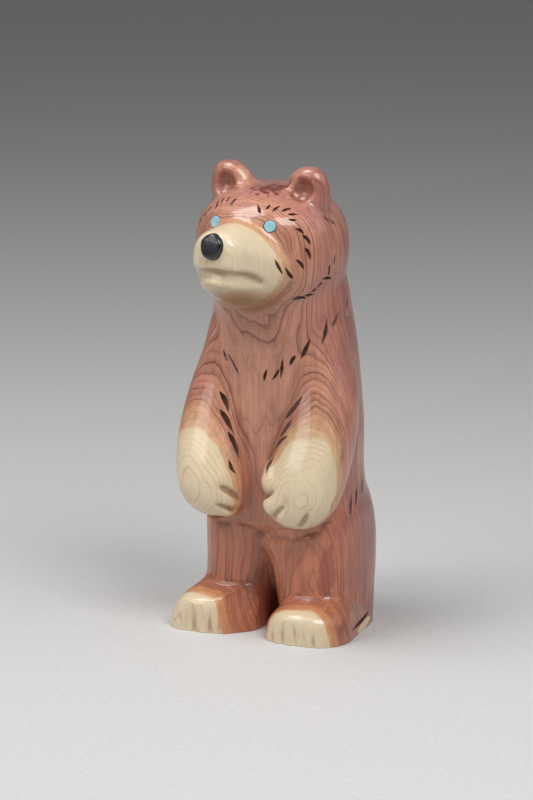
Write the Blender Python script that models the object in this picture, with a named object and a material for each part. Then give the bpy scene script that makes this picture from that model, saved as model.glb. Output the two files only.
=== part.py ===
"""A standing bear carved from one piece of juniper, with two inlaid stone eyes and an inlaid stone nose.

Metres, +Z up. The bear faces -Y and +X is its left. The origin is at the middle of its underside.
The figure's forms are given in units of a 150th of its height, in a layout whose floor is z = 0.
"""

import math
from typing import NamedTuple

import bmesh
import bpy
import numpy as np
from mathutils import Matrix, Vector
from mathutils.bvhtree import BVHTree

# Driving dimensions, in metres
FIGURE_HEIGHT = 0.150
EYE_DIAMETER = 0.0038
EYE_THICKNESS = 0.0016
EYE_PROUD = 0.0002
NOSE_WIDTH = 0.0078
NOSE_HEIGHT = 0.0076
NOSE_PROUD = 0.0015
NOSE_SEAT = 0.0030
INLAY_GAP = 0.0003
MOUTH_DEPTH = 0.0024
UPPER_LIP_CUT = 0.0003
LOWER_LIP_CUT = 0.0085
NICK_WIDTH = 0.0015
NICK_DEPTH = 0.0009
GOUGE_WIDTH = 0.0024
GOUGE_DEPTH = 0.0012
TOE_GROOVE_WIDTH = 0.0020
TOE_GROOVE_DEPTH = 0.0009
CLAW_GROOVE_WIDTH = 0.0030
CLAW_GROOVE_DEPTH = 0.0017
HEEL_CRACK_WIDTH = 0.0016
HEEL_CRACK_DEPTH = 0.0010
CUTTER_LIFT = 0.0004
WELD_DISTANCE = 0.00002

# Counts and fineness of the mesh
RING_POINTS = 40
STEPS_BETWEEN_STATIONS = 5
SKIN_VOXEL = 0.0010
SMOOTHING_PASSES = 16
FACES_KEPT = 0.066
INLAY_POINTS = 24
DOME_RINGS = 4
EAR_SCOOP_ROUNDS = 24
SCOOP_ROUNDS = 10
MOUTH_STATIONS = 16
SHARP_ANGLE = math.radians(35.0)

# One unit of the figure's forms is a 150th part of its height
UNIT = FIGURE_HEIGHT / 150.0
HEAD_X = -2.0
HEAD_TURN = math.radians(4.5)
HEAD_PIVOT = Vector((-1.2, -10.0, 0.0)) * UNIT
HEAD_FRAME = (
    Matrix.Translation(HEAD_PIVOT) @ Matrix.Rotation(-HEAD_TURN, 4, "Z") @ Matrix.Translation(-HEAD_PIVOT)
)

# Upright forms, bottom to top: height, middle x, middle y, half width, half depth, squareness
TORSO = (
    (31.5, 0.0, -3.5, 18.0, 14.0, 2.4),
    (34.5, 0.0, -3.5, 24.0, 20.0, 2.4),
    (41.0, 0.0, -3.6, 25.0, 21.6, 2.4),
    (52.0, 0.0, -4.0, 24.4, 20.8, 2.4),
    (66.0, 0.0, -4.9, 25.2, 20.0, 2.3),
    (80.0, 0.0, -5.4, 24.2, 19.8, 2.3),
    (92.0, 0.0, -6.0, 23.2, 20.4, 2.2),
    (103.0, 0.0, -7.4, 21.8, 20.6, 2.2),
    (114.0, -1.2, -9.0, 21.6, 20.4, 2.2),
    (124.0, -1.8, -10.4, 19.0, 18.4, 2.2),
    (132.0, -2.0, -11.4, 12.0, 11.0, 2.1),
)
WEB_BEHIND_LEGS = (
    (-6.0, 0.0, 4.5, 9.0, 11.5, 2.6),
    (16.0, 0.0, 4.0, 9.0, 12.0, 2.6),
    (36.0, 0.0, 0.0, 9.0, 16.0, 2.6),
)
LEFT_LEG = (
    (-6.0, 14.0, -3.0, 12.0, 17.6, 2.8),
    (4.0, 13.7, -2.8, 12.4, 18.6, 3.0),
    (12.0, 13.0, -2.5, 13.1, 19.4, 3.0),
    (18.0, 12.6, -2.2, 13.6, 20.0, 3.0),
    (24.0, 11.5, -2.1, 14.7, 20.3, 3.1),
    (30.0, 9.9, -2.0, 16.2, 20.4, 3.1),
    (38.0, 12.0, -2.0, 13.6, 20.0, 2.4),
    (48.0, 11.6, -2.4, 11.0, 17.4, 2.3),
    (58.0, 10.0, -3.0, 8.0, 12.0, 2.2),
)
RIGHT_LEG = (
    (-6.0, -14.2, -3.0, 11.8, 17.6, 2.7),
    (4.0, -14.1, -2.8, 12.0, 18.6, 2.7),
    (12.0, -13.0, -2.5, 13.2, 19.4, 2.4),
    (18.0, -12.0, -2.2, 14.2, 20.0, 2.2),
    (24.0, -11.6, -2.1, 14.6, 20.3, 2.2),
    (30.0, -11.4, -2.0, 14.8, 20.4, 2.3),
    (38.0, -12.0, -2.0, 13.6, 20.0, 2.4),
    (48.0, -11.6, -2.4, 11.0, 17.4, 2.3),
    (58.0, -10.0, -3.0, 8.0, 12.0, 2.2),
)
LEFT_ARM = (
    (37.4, 14.6, -26.5, 4.5, 5.0, 2.2),
    (39.5, 14.8, -26.2, 8.2, 8.0, 2.3),
    (44.0, 15.2, -25.6, 11.0, 10.4, 2.4),
    (51.0, 15.9, -24.2, 12.2, 12.1, 2.4),
    (60.0, 17.0, -21.2, 12.1, 12.6, 2.4),
    (70.0, 17.6, -17.0, 11.4, 12.6, 2.3),
    (80.0, 16.6, -13.8, 10.8, 12.0, 2.2),
    (90.0, 14.4, -12.0, 9.8, 11.6, 2.2),
    (100.0, 12.6, -11.4, 9.2, 11.2, 2.1),
    (112.0, 10.0, -11.0, 7.0, 9.0, 2.0),
)
RIGHT_ARM = (
    (38.6, -13.9, -26.3, 4.5, 5.0, 2.2),
    (40.7, -14.0, -26.2, 8.1, 8.0, 2.3),
    (45.0, -14.8, -25.7, 10.9, 10.4, 2.4),
    (51.6, -15.8, -24.2, 12.1, 12.1, 2.4),
    (60.0, -17.0, -21.2, 12.1, 12.6, 2.4),
    (70.0, -17.6, -17.0, 11.4, 12.6, 2.3),
    (80.0, -16.6, -13.8, 10.8, 12.0, 2.2),
    (90.0, -14.4, -12.0, 9.8, 11.6, 2.2),
    (100.0, -12.6, -11.4, 9.2, 11.2, 2.1),
    (112.0, -10.0, -11.0, 7.0, 9.0, 2.0),
)
HEAD = (
    (103.0, HEAD_X, -14.0, 12.0, 10.0, 2.2),
    (107.5, HEAD_X, -13.0, 19.0, 16.6, 2.2),
    (114.0, HEAD_X, -11.6, 22.8, 21.2, 2.2),
    (123.0, HEAD_X, -11.0, 24.0, 23.0, 2.2),
    (131.0, HEAD_X, -11.2, 22.6, 23.0, 2.2),
    (136.6, HEAD_X, -11.7, 19.3, 20.6, 2.2),
    (141.4, HEAD_X, -11.3, 13.2, 14.2, 2.1),
    (143.4, HEAD_X, -11.0, 6.6, 7.2, 2.0),
)

# Level forms, back to front: y, middle x, middle height, half width, half height, squareness
MUZZLE = (
    (-14.0, -2.0, 119.2, 20.6, 13.0, 2.1),
    (-22.0, -2.0, 119.4, 20.4, 13.8, 1.9),
    (-28.0, -1.8, 119.9, 18.4, 14.0, 1.7),
    (-33.0, -1.6, 120.6, 15.8, 13.8, 1.7),
    (-38.0, -1.4, 121.6, 13.0, 12.9, 1.8),
    (-43.0, -1.3, 122.8, 10.5, 11.4, 2.1),
    (-47.0, -1.2, 124.0, 8.7, 9.7, 2.4),
    (-49.4, -1.2, 124.9, 7.0, 8.2, 2.3),
    (-50.4, -1.2, 125.2, 4.8, 6.0, 2.0),
)
LEFT_FOOT = (
    (14.0, 14.0, -6.0, 8.0, 10.0, 2.4),
    (4.0, 15.2, -6.0, 12.2, 14.0, 2.5),
    (-14.0, 16.2, -5.0, 13.0, 19.6, 2.6),
    (-20.0, 16.3, -4.0, 13.6, 17.4, 2.8),
    (-24.0, 16.2, -4.0, 13.6, 15.6, 3.2),
    (-28.0, 15.7, -4.0, 12.5, 14.4, 3.6),
    (-30.0, 15.3, -4.0, 11.1, 14.1, 3.6),
    (-31.6, 15.3, -4.0, 9.1, 13.6, 3.4),
    (-32.6, 15.4, -4.0, 6.8, 12.8, 3.2),
    (-33.0, 15.5, -4.0, 4.6, 11.6, 3.0),
)
RIGHT_FOOT = (
    (14.0, -14.0, -6.0, 8.0, 10.0, 2.4),
    (4.0, -15.2, -6.0, 12.6, 14.0, 2.5),
    (-14.0, -15.8, -5.0, 13.5, 20.2, 2.6),
    (-20.0, -16.2, -4.0, 13.7, 18.6, 2.7),
    (-24.0, -17.3, -4.0, 13.8, 17.2, 2.8),
    (-28.0, -18.3, -4.0, 12.1, 15.8, 3.0),
    (-30.0, -19.0, -4.0, 10.2, 15.2, 3.0),
    (-31.2, -19.6, -4.0, 8.3, 14.6, 3.0),
    (-31.9, -19.4, -4.0, 5.8, 13.8, 2.9),
    (-32.2, -19.4, -4.0, 4.0, 12.4, 2.8),
)
RIGHT_FOOT_INSIDE = (
    (-8.0, -9.0, 3.0, 6.4, 15.0, 4.0),
    (-14.0, -9.0, 3.0, 6.8, 14.2, 4.0),
    (-18.0, -9.0, 2.0, 6.8, 13.6, 4.0),
    (-22.0, -9.4, 1.5, 6.8, 12.5, 4.0),
    (-26.0, -10.8, 1.0, 6.2, 11.7, 4.0),
    (-29.4, -12.8, 0.5, 5.0, 10.6, 4.0),
)

# An ear, upright like the body's forms and measured from the head's middle
EAR = (
    (134.0, 11.6, -12.0, 7.0, 5.4, 2.1),
    (138.0, 12.6, -12.2, 8.2, 5.2, 2.1),
    (142.0, 13.0, -12.5, 8.1, 4.8, 2.1),
    (146.0, 13.7, -12.7, 6.7, 4.3, 2.1),
    (148.6, 14.2, -12.8, 4.7, 3.4, 2.0),
    (150.0, 14.4, -12.8, 2.2, 2.0, 2.0),
)

# Ear hollows, mouth, toes and inlays, in the same units
EAR_SCOOP_MIDDLE = Vector((14.0, -17.4, 143.3))
EAR_SCOOP_RADII = (4.0, 3.2, 4.0)
EAR_SCOOP_LEAN = math.radians(8.0)
MOUTH_MIDDLE = Vector((-1.3, -31.0, 0.0))
MOUTH_FRONT_HEIGHT = 122.8
MOUTH_CORNER_HEIGHT = 117.0
MOUTH_SPREAD = math.radians(61.0)
MOUTH_DROOP = 1.4
MOUTH_FADE = 0.7
MOUTH_FADE_FROM = 4
EYE_MIDDLE_X = -1.0
EYE_SPACING = 9.5
EYE_LEVEL = 133.5
NOSE_X = -1.2
NOSE_LEVEL = 129.3
NOSE_TILT = math.radians(12.0)
EYE_TURN = math.radians(17.0)
EYE_LIFT = math.radians(20.0)
RIGHT_TOE_GROOVES = (-23.0, -20.0, -14.6, -11.8)
LEFT_TOE_GROOVES = (7.4, 11.3, 15.6, 18.8, 22.0)
TOE_GROOVE_BOTTOM = -7.0
TOE_GROOVE_TOP = 9.0
TOE_GROOVE_MEETS = 4.0
FOOT_FACET_START = Vector((-9.0, -29.9, 0.0))
FOOT_FACET_FACING = Vector((0.70, -0.675, 0.22))
FOOT_FACET_LOW = Vector((-8.0, -4.0))
FOOT_FACET_HIGH = Vector((13.5, 15.0))
FOOT_FACET_WASTE = 2.3
NECK_HEIGHT = 100.0
NECK_BLEND = 10.0
HEEL_CRACK = (Vector((29.0, -12.8, 1.6)), Vector((28.4, -2.8, 5.6)))
FAR = 100.0

# Finishes: colour and roughness
CEDAR = ((0.33, 0.14, 0.09), 0.3)
TURQUOISE = ((0.28, 0.53, 0.60), 0.25)
JET = ((0.015, 0.015, 0.017), 0.15)


class Row(NamedTuple):
    """A row of nicks along a curve on the figure, in the same units, with leans from level on the surface."""

    start: tuple
    middle: tuple
    end: tuple
    count: int
    lengths: tuple
    leans: tuple
    width: float = NICK_WIDTH
    depth: float = NICK_DEPTH
    both_sides: bool = False


NICK_ROWS = (
    # Brow, bear's right and then its left
    Row((-21.6, -22.0, 131.6), (-16.2, -24.5, 136.6), (-8.7, -26.0, 139.3), 6, (1.7, 2.2), (70, 50)),
    Row((1.4, -28.5, 138.1), (1.4, -28.5, 138.1), (1.4, -28.5, 138.1), 1, (2.8, 2.8), (105, 105)),
    Row((4.2, -27.2, 138.9), (8.8, -25.8, 138.4), (11.8, -26.4, 135.0), 5, (2.4, 3.2), (50, 0)),
    # Left cheek, from beside the eye down
    Row((14.1, -26.5, 131.7), (16.8, -25.6, 127.6), (15.6, -27.8, 121.4), 4, (3.6, 3.6), (-35, -58)),
    Row(
        (11.3, -34.8, 121.8), (12.4, -33.2, 120.6), (13.5, -31.4, 119.2),
        2, (5.2, 4.8), (-62, -52), both_sides=True,
    ),
    # Ruff below the cheek and up behind it
    Row(
        (13.6, -25.4, 109.7), (16.2, -23.6, 111.2), (18.4, -21.4, 113.8),
        3, (3.6, 3.0), (-8, 42), both_sides=True,
    ),
    Row(
        (20.0, -18.6, 116.0), (20.9, -16.6, 119.0), (21.4, -14.8, 122.4),
        3, (2.6, 3.4), (60, 108), both_sides=True,
    ),
    Row(
        (17.8, -15.6, 134.6), (18.4, -14.1, 134.0), (19.0, -12.6, 133.2),
        2, (2.4, 3.4), (-60, -45), both_sides=True,
    ),
    # Neck, from the side round to the breast
    Row((21.8, -7.0, 104.5), (19.0, -18.4, 99.2), (11.0, -24.2, 90.2), 5, (6.4, 4.4), (82, 62)),
    Row((-21.8, -5.0, 105.0), (-21.4, -9.0, 103.0), (-20.8, -13.0, 100.6), 2, (6.2, 5.6), (98, 106)),
    Row((7.8, -25.2, 87.0), (5.0, -25.4, 85.8), (2.1, -25.5, 84.6), 3, (5.4, 3.8), (84, 70)),
    Row((-12.6, -23.6, 89.8), (-11.0, -24.0, 88.4), (-9.2, -24.5, 86.4), 2, (3.6, 6.6), (-72, -64)),
    # Insides of the arms
    Row(
        (-12.2, -26.0, 75.2), (-9.4, -28.1, 65.6), (-6.4, -30.8, 55.8),
        4, (7.4, 6.0), (-64, -66), GOUGE_WIDTH, GOUGE_DEPTH,
    ),
    Row(
        (11.6, -25.7, 75.0), (8.2, -27.2, 66.0), (4.6, -26.6, 57.4),
        4, (6.8, 6.4), (50, 60), GOUGE_WIDTH, GOUGE_DEPTH,
    ),
    # Haunch
    Row(
        (24.6, -9.8, 41.0), (24.9, -3.4, 44.2), (24.2, 3.4, 45.4),
        4, (6.6, 3.0), (84, 88), both_sides=True,
    ),
)

# Gouges between the claws: the point on the paw's front, and the point on its edge
CLAW_GROOVES = (
    ((9.6, -35.0, 51.6), (3.6, -26.0, 46.6)),
    ((12.8, -36.0, 45.6), (7.0, -28.0, 37.6)),
    ((21.0, -35.2, 46.6), (17.6, -28.0, 37.0)),
    ((-11.0, -35.2, 50.4), (-4.2, -26.5, 45.2)),
    ((-13.6, -35.8, 45.2), (-7.0, -28.0, 38.2)),
    ((-19.0, -35.6, 44.0), (-13.6, -28.0, 37.0)),
)


def mirrored(sections):
    """The same sections for the figure's other side."""
    return [(station, -middle_x, *rest) for station, middle_x, *rest in sections]


def eased(sections):
    """The sections with more between them, so that the form runs through all of them in one smooth curve."""
    table = np.array(sections)
    ends = np.vstack([2 * table[0] - table[1], table, 2 * table[-1] - table[-2]])
    rows = []
    for before, here, after, beyond in zip(ends, ends[1:], ends[2:], ends[3:]):
        for step in range(STEPS_BETWEEN_STATIONS):
            t = step / STEPS_BETWEEN_STATIONS
            straight = (after - before) * t
            bend = (2 * before - 5 * here + 4 * after - beyond) * t**2
            twist = (3 * here - before - 3 * after + beyond) * t**3
            rows.append(here + 0.5 * (straight + bend + twist))
    rows.append(table[-1])
    return rows


def oval(half_width, half_height, squareness=2.0, points=RING_POINTS):
    """Points of a rounded outline: squareness 2 is an ellipse, and more is squarer."""
    for index in range(points):
        turn = math.tau * index / points
        across = math.cos(turn)
        along = math.sin(turn)
        reach = (abs(across) ** squareness + abs(along) ** squareness) ** (-1.0 / squareness)
        yield half_width * reach * across, half_height * reach * along


def skin(bm, rings):
    """Closes a stack of rings into one solid with its faces outwards."""
    faces = [bm.faces.new(rings[0]), bm.faces.new(rings[-1])]
    for lower, upper in zip(rings, rings[1:]):
        for index in range(len(lower)):
            following = (index + 1) % len(lower)
            faces.append(bm.faces.new((lower[index], lower[following], upper[following], upper[index])))
    bmesh.ops.recalc_face_normals(bm, faces=faces)


def add_loft(bm, sections, level=False, frame=Matrix.Identity(4)):
    """One form through its sections, stacked upright, or back to front where it is level."""
    rings = []
    for station, middle_x, middle_v, half_width, half_v, squareness in eased(sections):
        ring = []
        for u, v in oval(half_width, half_v, squareness):
            across = middle_x + u
            place = (across, station, middle_v + v) if level else (across, middle_v + v, station)
            ring.append(bm.verts.new(frame @ (Vector(place) * UNIT)))
        rings.append(ring)
    skin(bm, rings)


def add_ball(bm, place, radii, rounds):
    """A ball with three half sizes, in its own frame."""
    stretch = Matrix.Diagonal((*radii, 1.0))
    bmesh.ops.create_uvsphere(
        bm, u_segments=rounds, v_segments=rounds // 2, radius=UNIT, matrix=place @ stretch
    )


def to_object(bm, name, guide=False):
    """The mesh as a named object in the scene, hidden if it is a cutter or a guide."""
    mesh = bpy.data.meshes.new(name)
    bm.to_mesh(mesh)
    bm.free()
    piece = bpy.data.objects.new(name, mesh)
    bpy.context.scene.collection.objects.link(piece)
    if guide:
        piece.hide_render = True
        piece.display_type = "WIRE"
    return piece


def finish(name, colour, roughness):
    """A material for one of the figure's finishes."""
    material = bpy.data.materials.new(name)
    material.use_nodes = True
    shader = material.node_tree.nodes["Principled BSDF"]
    shader.inputs["Base Color"].default_value = (*colour, 1.0)
    shader.inputs["Roughness"].default_value = roughness
    shader.inputs["Metallic"].default_value = 0.0
    return material


def add_skin(piece):
    """Fuses the piece's overlapping forms into one skin and softens it where they meet."""
    fuse = piece.modifiers.new("fuse", "REMESH")
    fuse.mode = "VOXEL"
    fuse.voxel_size = SKIN_VOXEL
    fuse.use_smooth_shade = True
    soften = piece.modifiers.new("soften", "SMOOTH")
    soften.factor = 0.5
    soften.iterations = SMOOTHING_PASSES


def add_cut(piece, cutter):
    """Cuts a hidden form out of the piece."""
    cut = piece.modifiers.new(cutter.name, "BOOLEAN")
    cut.operation = "DIFFERENCE"
    cut.solver = "EXACT"
    cut.object = cutter


def surface_of(piece):
    """The piece's present surface, for finding places on it."""
    bpy.context.view_layer.update()
    return BVHTree.FromObject(piece, bpy.context.evaluated_depsgraph_get())


def meet(surface, origin, direction):
    """Where a straight line from outside first meets the surface, and the surface's direction there."""
    place, normal, _, _ = surface.ray_cast(origin, direction)
    return place, normal


def shape_body():
    """Torso, legs, arms, head, muzzle and ears, fused into one skin."""
    bm = bmesh.new()
    add_loft(bm, TORSO)
    add_loft(bm, WEB_BEHIND_LEGS)
    for sections in (LEFT_LEG, RIGHT_LEG, LEFT_ARM, RIGHT_ARM):
        add_loft(bm, sections)
    add_loft(bm, LEFT_FOOT, level=True)
    add_loft(bm, RIGHT_FOOT, level=True)
    add_loft(bm, RIGHT_FOOT_INSIDE, level=True)
    add_loft(bm, HEAD, frame=HEAD_FRAME)
    add_loft(bm, MUZZLE, level=True, frame=HEAD_FRAME)
    for sections in (EAR, mirrored(EAR)):
        place = Matrix.Translation((HEAD_X * UNIT, 0.0, 0.0))
        add_loft(bm, sections, frame=HEAD_FRAME @ place)
    body = to_object(bm, "bear_body")
    add_skin(body)
    return body


def shape_ear_scoops():
    """The hollows in the ears' fronts."""
    bm = bmesh.new()
    for side in (-1.0, 1.0):
        middle = Vector((HEAD_X + side * EAR_SCOOP_MIDDLE.x, EAR_SCOOP_MIDDLE.y, EAR_SCOOP_MIDDLE.z)) * UNIT
        lean = Matrix.Rotation(side * EAR_SCOOP_LEAN, 4, "Y")
        add_ball(bm, HEAD_FRAME @ Matrix.Translation(middle) @ lean, EAR_SCOOP_RADII, EAR_SCOOP_ROUNDS)
    return to_object(bm, "ear_scoops", guide=True)


def add_block(bm, frame, low, high):
    """A plain block between two corners given in units, in its own frame."""
    low, high = Vector(low) * UNIT, Vector(high) * UNIT
    size = high - low
    place = frame @ Matrix.Translation((low + high) / 2) @ Matrix.Diagonal((*size, 1.0))
    bmesh.ops.create_cube(bm, size=1.0, matrix=place)


def shape_flats():
    """The waste below the soles, and the waste beside the facet on the right foot's inner corner."""
    bm = bmesh.new()
    add_block(bm, Matrix.Identity(4), (-FAR, -FAR, -FAR), (FAR, FAR, 0.0))
    soles = to_object(bm, "sole_cut", guide=True)
    outward = FOOT_FACET_FACING.normalized()
    level = Vector((0.0, 0.0, 1.0)).cross(outward).normalized()
    axes = Matrix((level, outward.cross(level), outward)).transposed().to_4x4()
    bm = bmesh.new()
    add_block(
        bm, Matrix.Translation(FOOT_FACET_START * UNIT) @ axes,
        (*FOOT_FACET_LOW, 0.0), (*FOOT_FACET_HIGH, FOOT_FACET_WASTE),
    )
    return soles, to_object(bm, "foot_facet_cut", guide=True)


def shape_mouth(surface):
    """A wedge that follows the muzzle round, from one mouth corner over the front to the other."""
    bm = bmesh.new()
    rings = []
    for station in range(MOUTH_STATIONS + 1):
        t = 2.0 * station / MOUTH_STATIONS - 1.0
        turn = t * MOUTH_SPREAD
        height = MOUTH_FRONT_HEIGHT + (MOUTH_CORNER_HEIGHT - MOUTH_FRONT_HEIGHT) * abs(t) ** MOUTH_DROOP
        outwards = HEAD_FRAME.to_3x3() @ Vector((math.sin(turn), -math.cos(turn), 0.0))
        middle = HEAD_FRAME @ (Vector((MOUTH_MIDDLE.x, MOUTH_MIDDLE.y, height)) * UNIT)
        lip, _ = meet(surface, middle + outwards * FAR * UNIT, -outwards)
        fade = 1.0 - MOUTH_FADE * abs(t) ** MOUTH_FADE_FROM
        clear = outwards * MOUTH_DEPTH
        edge = lip - outwards * MOUTH_DEPTH * fade
        above = lip + clear + Vector((0.0, 0.0, UPPER_LIP_CUT * fade))
        below = lip + clear - Vector((0.0, 0.0, LOWER_LIP_CUT * fade))
        rings.append([bm.verts.new(corner) for corner in (edge, below, above)])
    skin(bm, rings)
    return to_object(bm, "mouth_cut", guide=True)


def add_gouge(bm, bow, middle, stern, outward, width, depth):
    """A pointed boat-shaped cutter through three points of the surface, deepest at its middle."""
    grow = (depth + CUTTER_LIFT) / depth
    lift = outward * CUTTER_LIFT
    across = (stern - bow).cross(outward).normalized() * width * grow / 2
    tip, tail = (middle + (end - middle) * grow + lift for end in (bow, stern))
    rim = [tip, middle + lift - across, tail, middle + lift + across]
    rim = [bm.verts.new(corner) for corner in rim]
    keel = bm.verts.new(middle - outward * depth)
    crest = bm.verts.new(middle + lift * 2)
    faces = []
    for first, second in zip(rim, rim[1:] + rim[:1]):
        faces.append(bm.faces.new((first, second, keel)))
        faces.append(bm.faces.new((second, first, crest)))
    bmesh.ops.recalc_face_normals(bm, faces=faces)


def add_nick(bm, surface, place, lean, length, width, depth):
    """One nick on the surface nearest to a place, leaning from level."""
    middle, outward, _, _ = surface.find_nearest(place)
    level = Vector((0.0, 0.0, 1.0)).cross(outward).normalized()
    along = level * math.cos(lean) + outward.cross(level) * math.sin(lean)
    bow = surface.find_nearest(middle - along * length / 2)[0]
    stern = surface.find_nearest(middle + along * length / 2)[0]
    add_gouge(bm, bow, middle, stern, outward, width, depth)


def shape_nicks(surface):
    """The carver's nicks and gouges that stand for fur."""
    bm = bmesh.new()
    for row in NICK_ROWS:
        start, middle, end = (Vector(point) * UNIT for point in (row.start, row.middle, row.end))
        for index in range(row.count):
            t = index / max(row.count - 1, 1)
            place = start * (1 - t) * (1 - 2 * t) + middle * 4 * t * (1 - t) + end * t * (2 * t - 1)
            lean = math.radians(row.leans[0] + (row.leans[1] - row.leans[0]) * t)
            length = (row.lengths[0] + (row.lengths[1] - row.lengths[0]) * t) * UNIT
            add_nick(bm, surface, place, lean, length, row.width, row.depth)
            if row.both_sides:
                add_nick(bm, surface, opposite(place), math.pi - lean, length, row.width, row.depth)
    return to_object(bm, "nick_cuts", guide=True)


def opposite(place):
    """The matching place on the figure's other side."""
    head_share = min(max(place.z / UNIT - NECK_HEIGHT, 0.0) / NECK_BLEND, 1.0)
    return Vector((-place.x + 2.0 * HEAD_X * UNIT * head_share, place.y, place.z))


def add_scoop(bm, bow, stern, outward, width, depth):
    """A long rounded cutter whose middle line runs from bow to stern on the surface."""
    along = stern - bow
    across = along.cross(outward).normalized()
    turn = Matrix((across, along.normalized(), across.cross(along).normalized())).transposed().to_4x4()
    radii = Vector((width, along.length, depth * 2)) / (2 * UNIT)
    add_ball(bm, Matrix.Translation((bow + stern) / 2) @ turn, radii, SCOOP_ROUNDS)


def shape_grooves(surface):
    """Gouges between the toes and between the claws, and the crack in the left heel."""
    bm = bmesh.new()
    for groove_x in RIGHT_TOE_GROOVES + LEFT_TOE_GROOVES:
        start = Vector((groove_x, -FAR, TOE_GROOVE_MEETS)) * UNIT
        front, outward = meet(surface, start, Vector((0.0, 1.0, 0.0)))
        bottom = Vector((front.x, front.y, TOE_GROOVE_BOTTOM * UNIT))
        top = Vector((front.x, front.y, TOE_GROOVE_TOP * UNIT))
        level = Vector((outward.x, outward.y, 0.0)).normalized()
        add_scoop(bm, bottom, top, level, TOE_GROOVE_WIDTH, TOE_GROOVE_DEPTH)
    for front, edge in CLAW_GROOVES:
        bow, stern = Vector(front) * UNIT, Vector(edge) * UNIT
        middle, outward, _, _ = surface.find_nearest((bow + stern) / 2)
        shift = middle - (bow + stern) / 2
        add_scoop(bm, bow + shift, stern + shift, outward, CLAW_GROOVE_WIDTH, CLAW_GROOVE_DEPTH)
    bow, stern = (surface.find_nearest(point * UNIT)[0] for point in HEEL_CRACK)
    middle, outward, _, _ = surface.find_nearest((bow + stern) / 2)
    add_gouge(bm, bow, middle, stern, outward, HEEL_CRACK_WIDTH, HEEL_CRACK_DEPTH)
    return to_object(bm, "groove_cuts", guide=True)


def add_disc(bm, place, outline, floor, rises):
    """A solid with the same outline from its floor up, closed by rings given as (share of the outline, height)."""
    rings = []
    for share, height in ((1.0, floor), *rises):
        rings.append([bm.verts.new(place @ Vector((u * share, v * share, height))) for u, v in outline])
    skin(bm, rings)


def inlay_frame(surface, across, level, turn, lift):
    """A frame on the head's surface, its Z outwards at a turn and lift from straight ahead."""
    start = HEAD_FRAME @ (Vector((across, -FAR, level)) * UNIT)
    place, _ = meet(surface, start, HEAD_FRAME.to_3x3() @ Vector((0.0, 1.0, 0.0)))
    facing = Matrix.Rotation(turn, 4, "Z") @ Matrix.Rotation(math.pi / 2 - lift, 4, "X")
    return Matrix.Translation(place) @ Matrix.Rotation(-HEAD_TURN, 4, "Z") @ facing


def shape_inlays(surface):
    """The stones, and the pockets they are let into."""
    stones = []
    pockets = bmesh.new()
    eye_outline = list(oval(EYE_DIAMETER / 2, EYE_DIAMETER / 2, points=INLAY_POINTS))
    eye_hole = list(oval(EYE_DIAMETER / 2 + INLAY_GAP, EYE_DIAMETER / 2 + INLAY_GAP, points=INLAY_POINTS))
    for name, side in (("eye_left", 1.0), ("eye_right", -1.0)):
        across = EYE_MIDDLE_X + side * EYE_SPACING
        place = inlay_frame(surface, across, EYE_LEVEL, side * EYE_TURN, EYE_LIFT)
        bm = bmesh.new()
        add_disc(bm, place, eye_outline, -EYE_THICKNESS, ((1.0, EYE_PROUD),))
        stones.append(to_object(bm, name))
        add_disc(pockets, place, eye_hole, -EYE_THICKNESS - INLAY_GAP, ((1.0, EYE_THICKNESS),))
    place = inlay_frame(surface, NOSE_X, NOSE_LEVEL, 0.0, NOSE_TILT)
    nose_outline = list(oval(NOSE_WIDTH / 2, NOSE_HEIGHT / 2, points=INLAY_POINTS))
    nose_hole = list(oval(NOSE_WIDTH / 2 + INLAY_GAP, NOSE_HEIGHT / 2 + INLAY_GAP, points=INLAY_POINTS))
    turns = [math.pi / 2 * ring / DOME_RINGS for ring in range(DOME_RINGS)]
    bm = bmesh.new()
    add_disc(bm, place, nose_outline, -NOSE_SEAT, [(math.cos(t), NOSE_PROUD * math.sin(t)) for t in turns])
    stones.append(to_object(bm, "nose"))
    add_disc(pockets, place, nose_hole, -NOSE_SEAT - INLAY_GAP, ((1.0, NOSE_SEAT),))
    return stones, to_object(pockets, "inlay_pockets", guide=True)


def carve(body, cutters):
    """Makes the cuts for good, takes the cutters away and keeps the shading round except at cut edges."""
    for cutter in cutters:
        add_cut(body, cutter)
    bpy.context.view_layer.update()
    finished = bpy.data.meshes.new_from_object(body.evaluated_get(bpy.context.evaluated_depsgraph_get()))
    body.modifiers.clear()
    body.data = finished
    bm = bmesh.new()
    bm.from_mesh(finished)
    bmesh.ops.remove_doubles(bm, verts=bm.verts[:], dist=WELD_DISTANCE)
    bm.to_mesh(finished)
    bm.free()
    finished.shade_smooth()
    finished.set_sharp_from_angle(angle=SHARP_ANGLE)
    for cutter in cutters:
        bpy.data.objects.remove(cutter, do_unlink=True)


def stand_at_origin(pieces):
    """Hangs the pieces on one empty and moves it so that the middle of the figure's underside is the origin."""
    corners = np.array([vertex.co for piece in pieces for vertex in piece.data.vertices])
    low, high = corners.min(axis=0), corners.max(axis=0)
    base = bpy.data.objects.new("base_middle", None)
    bpy.context.scene.collection.objects.link(base)
    for piece in pieces:
        piece.parent = base
    base.location = (-(low[0] + high[0]) / 2, -(low[1] + high[1]) / 2, -low[2])


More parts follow.
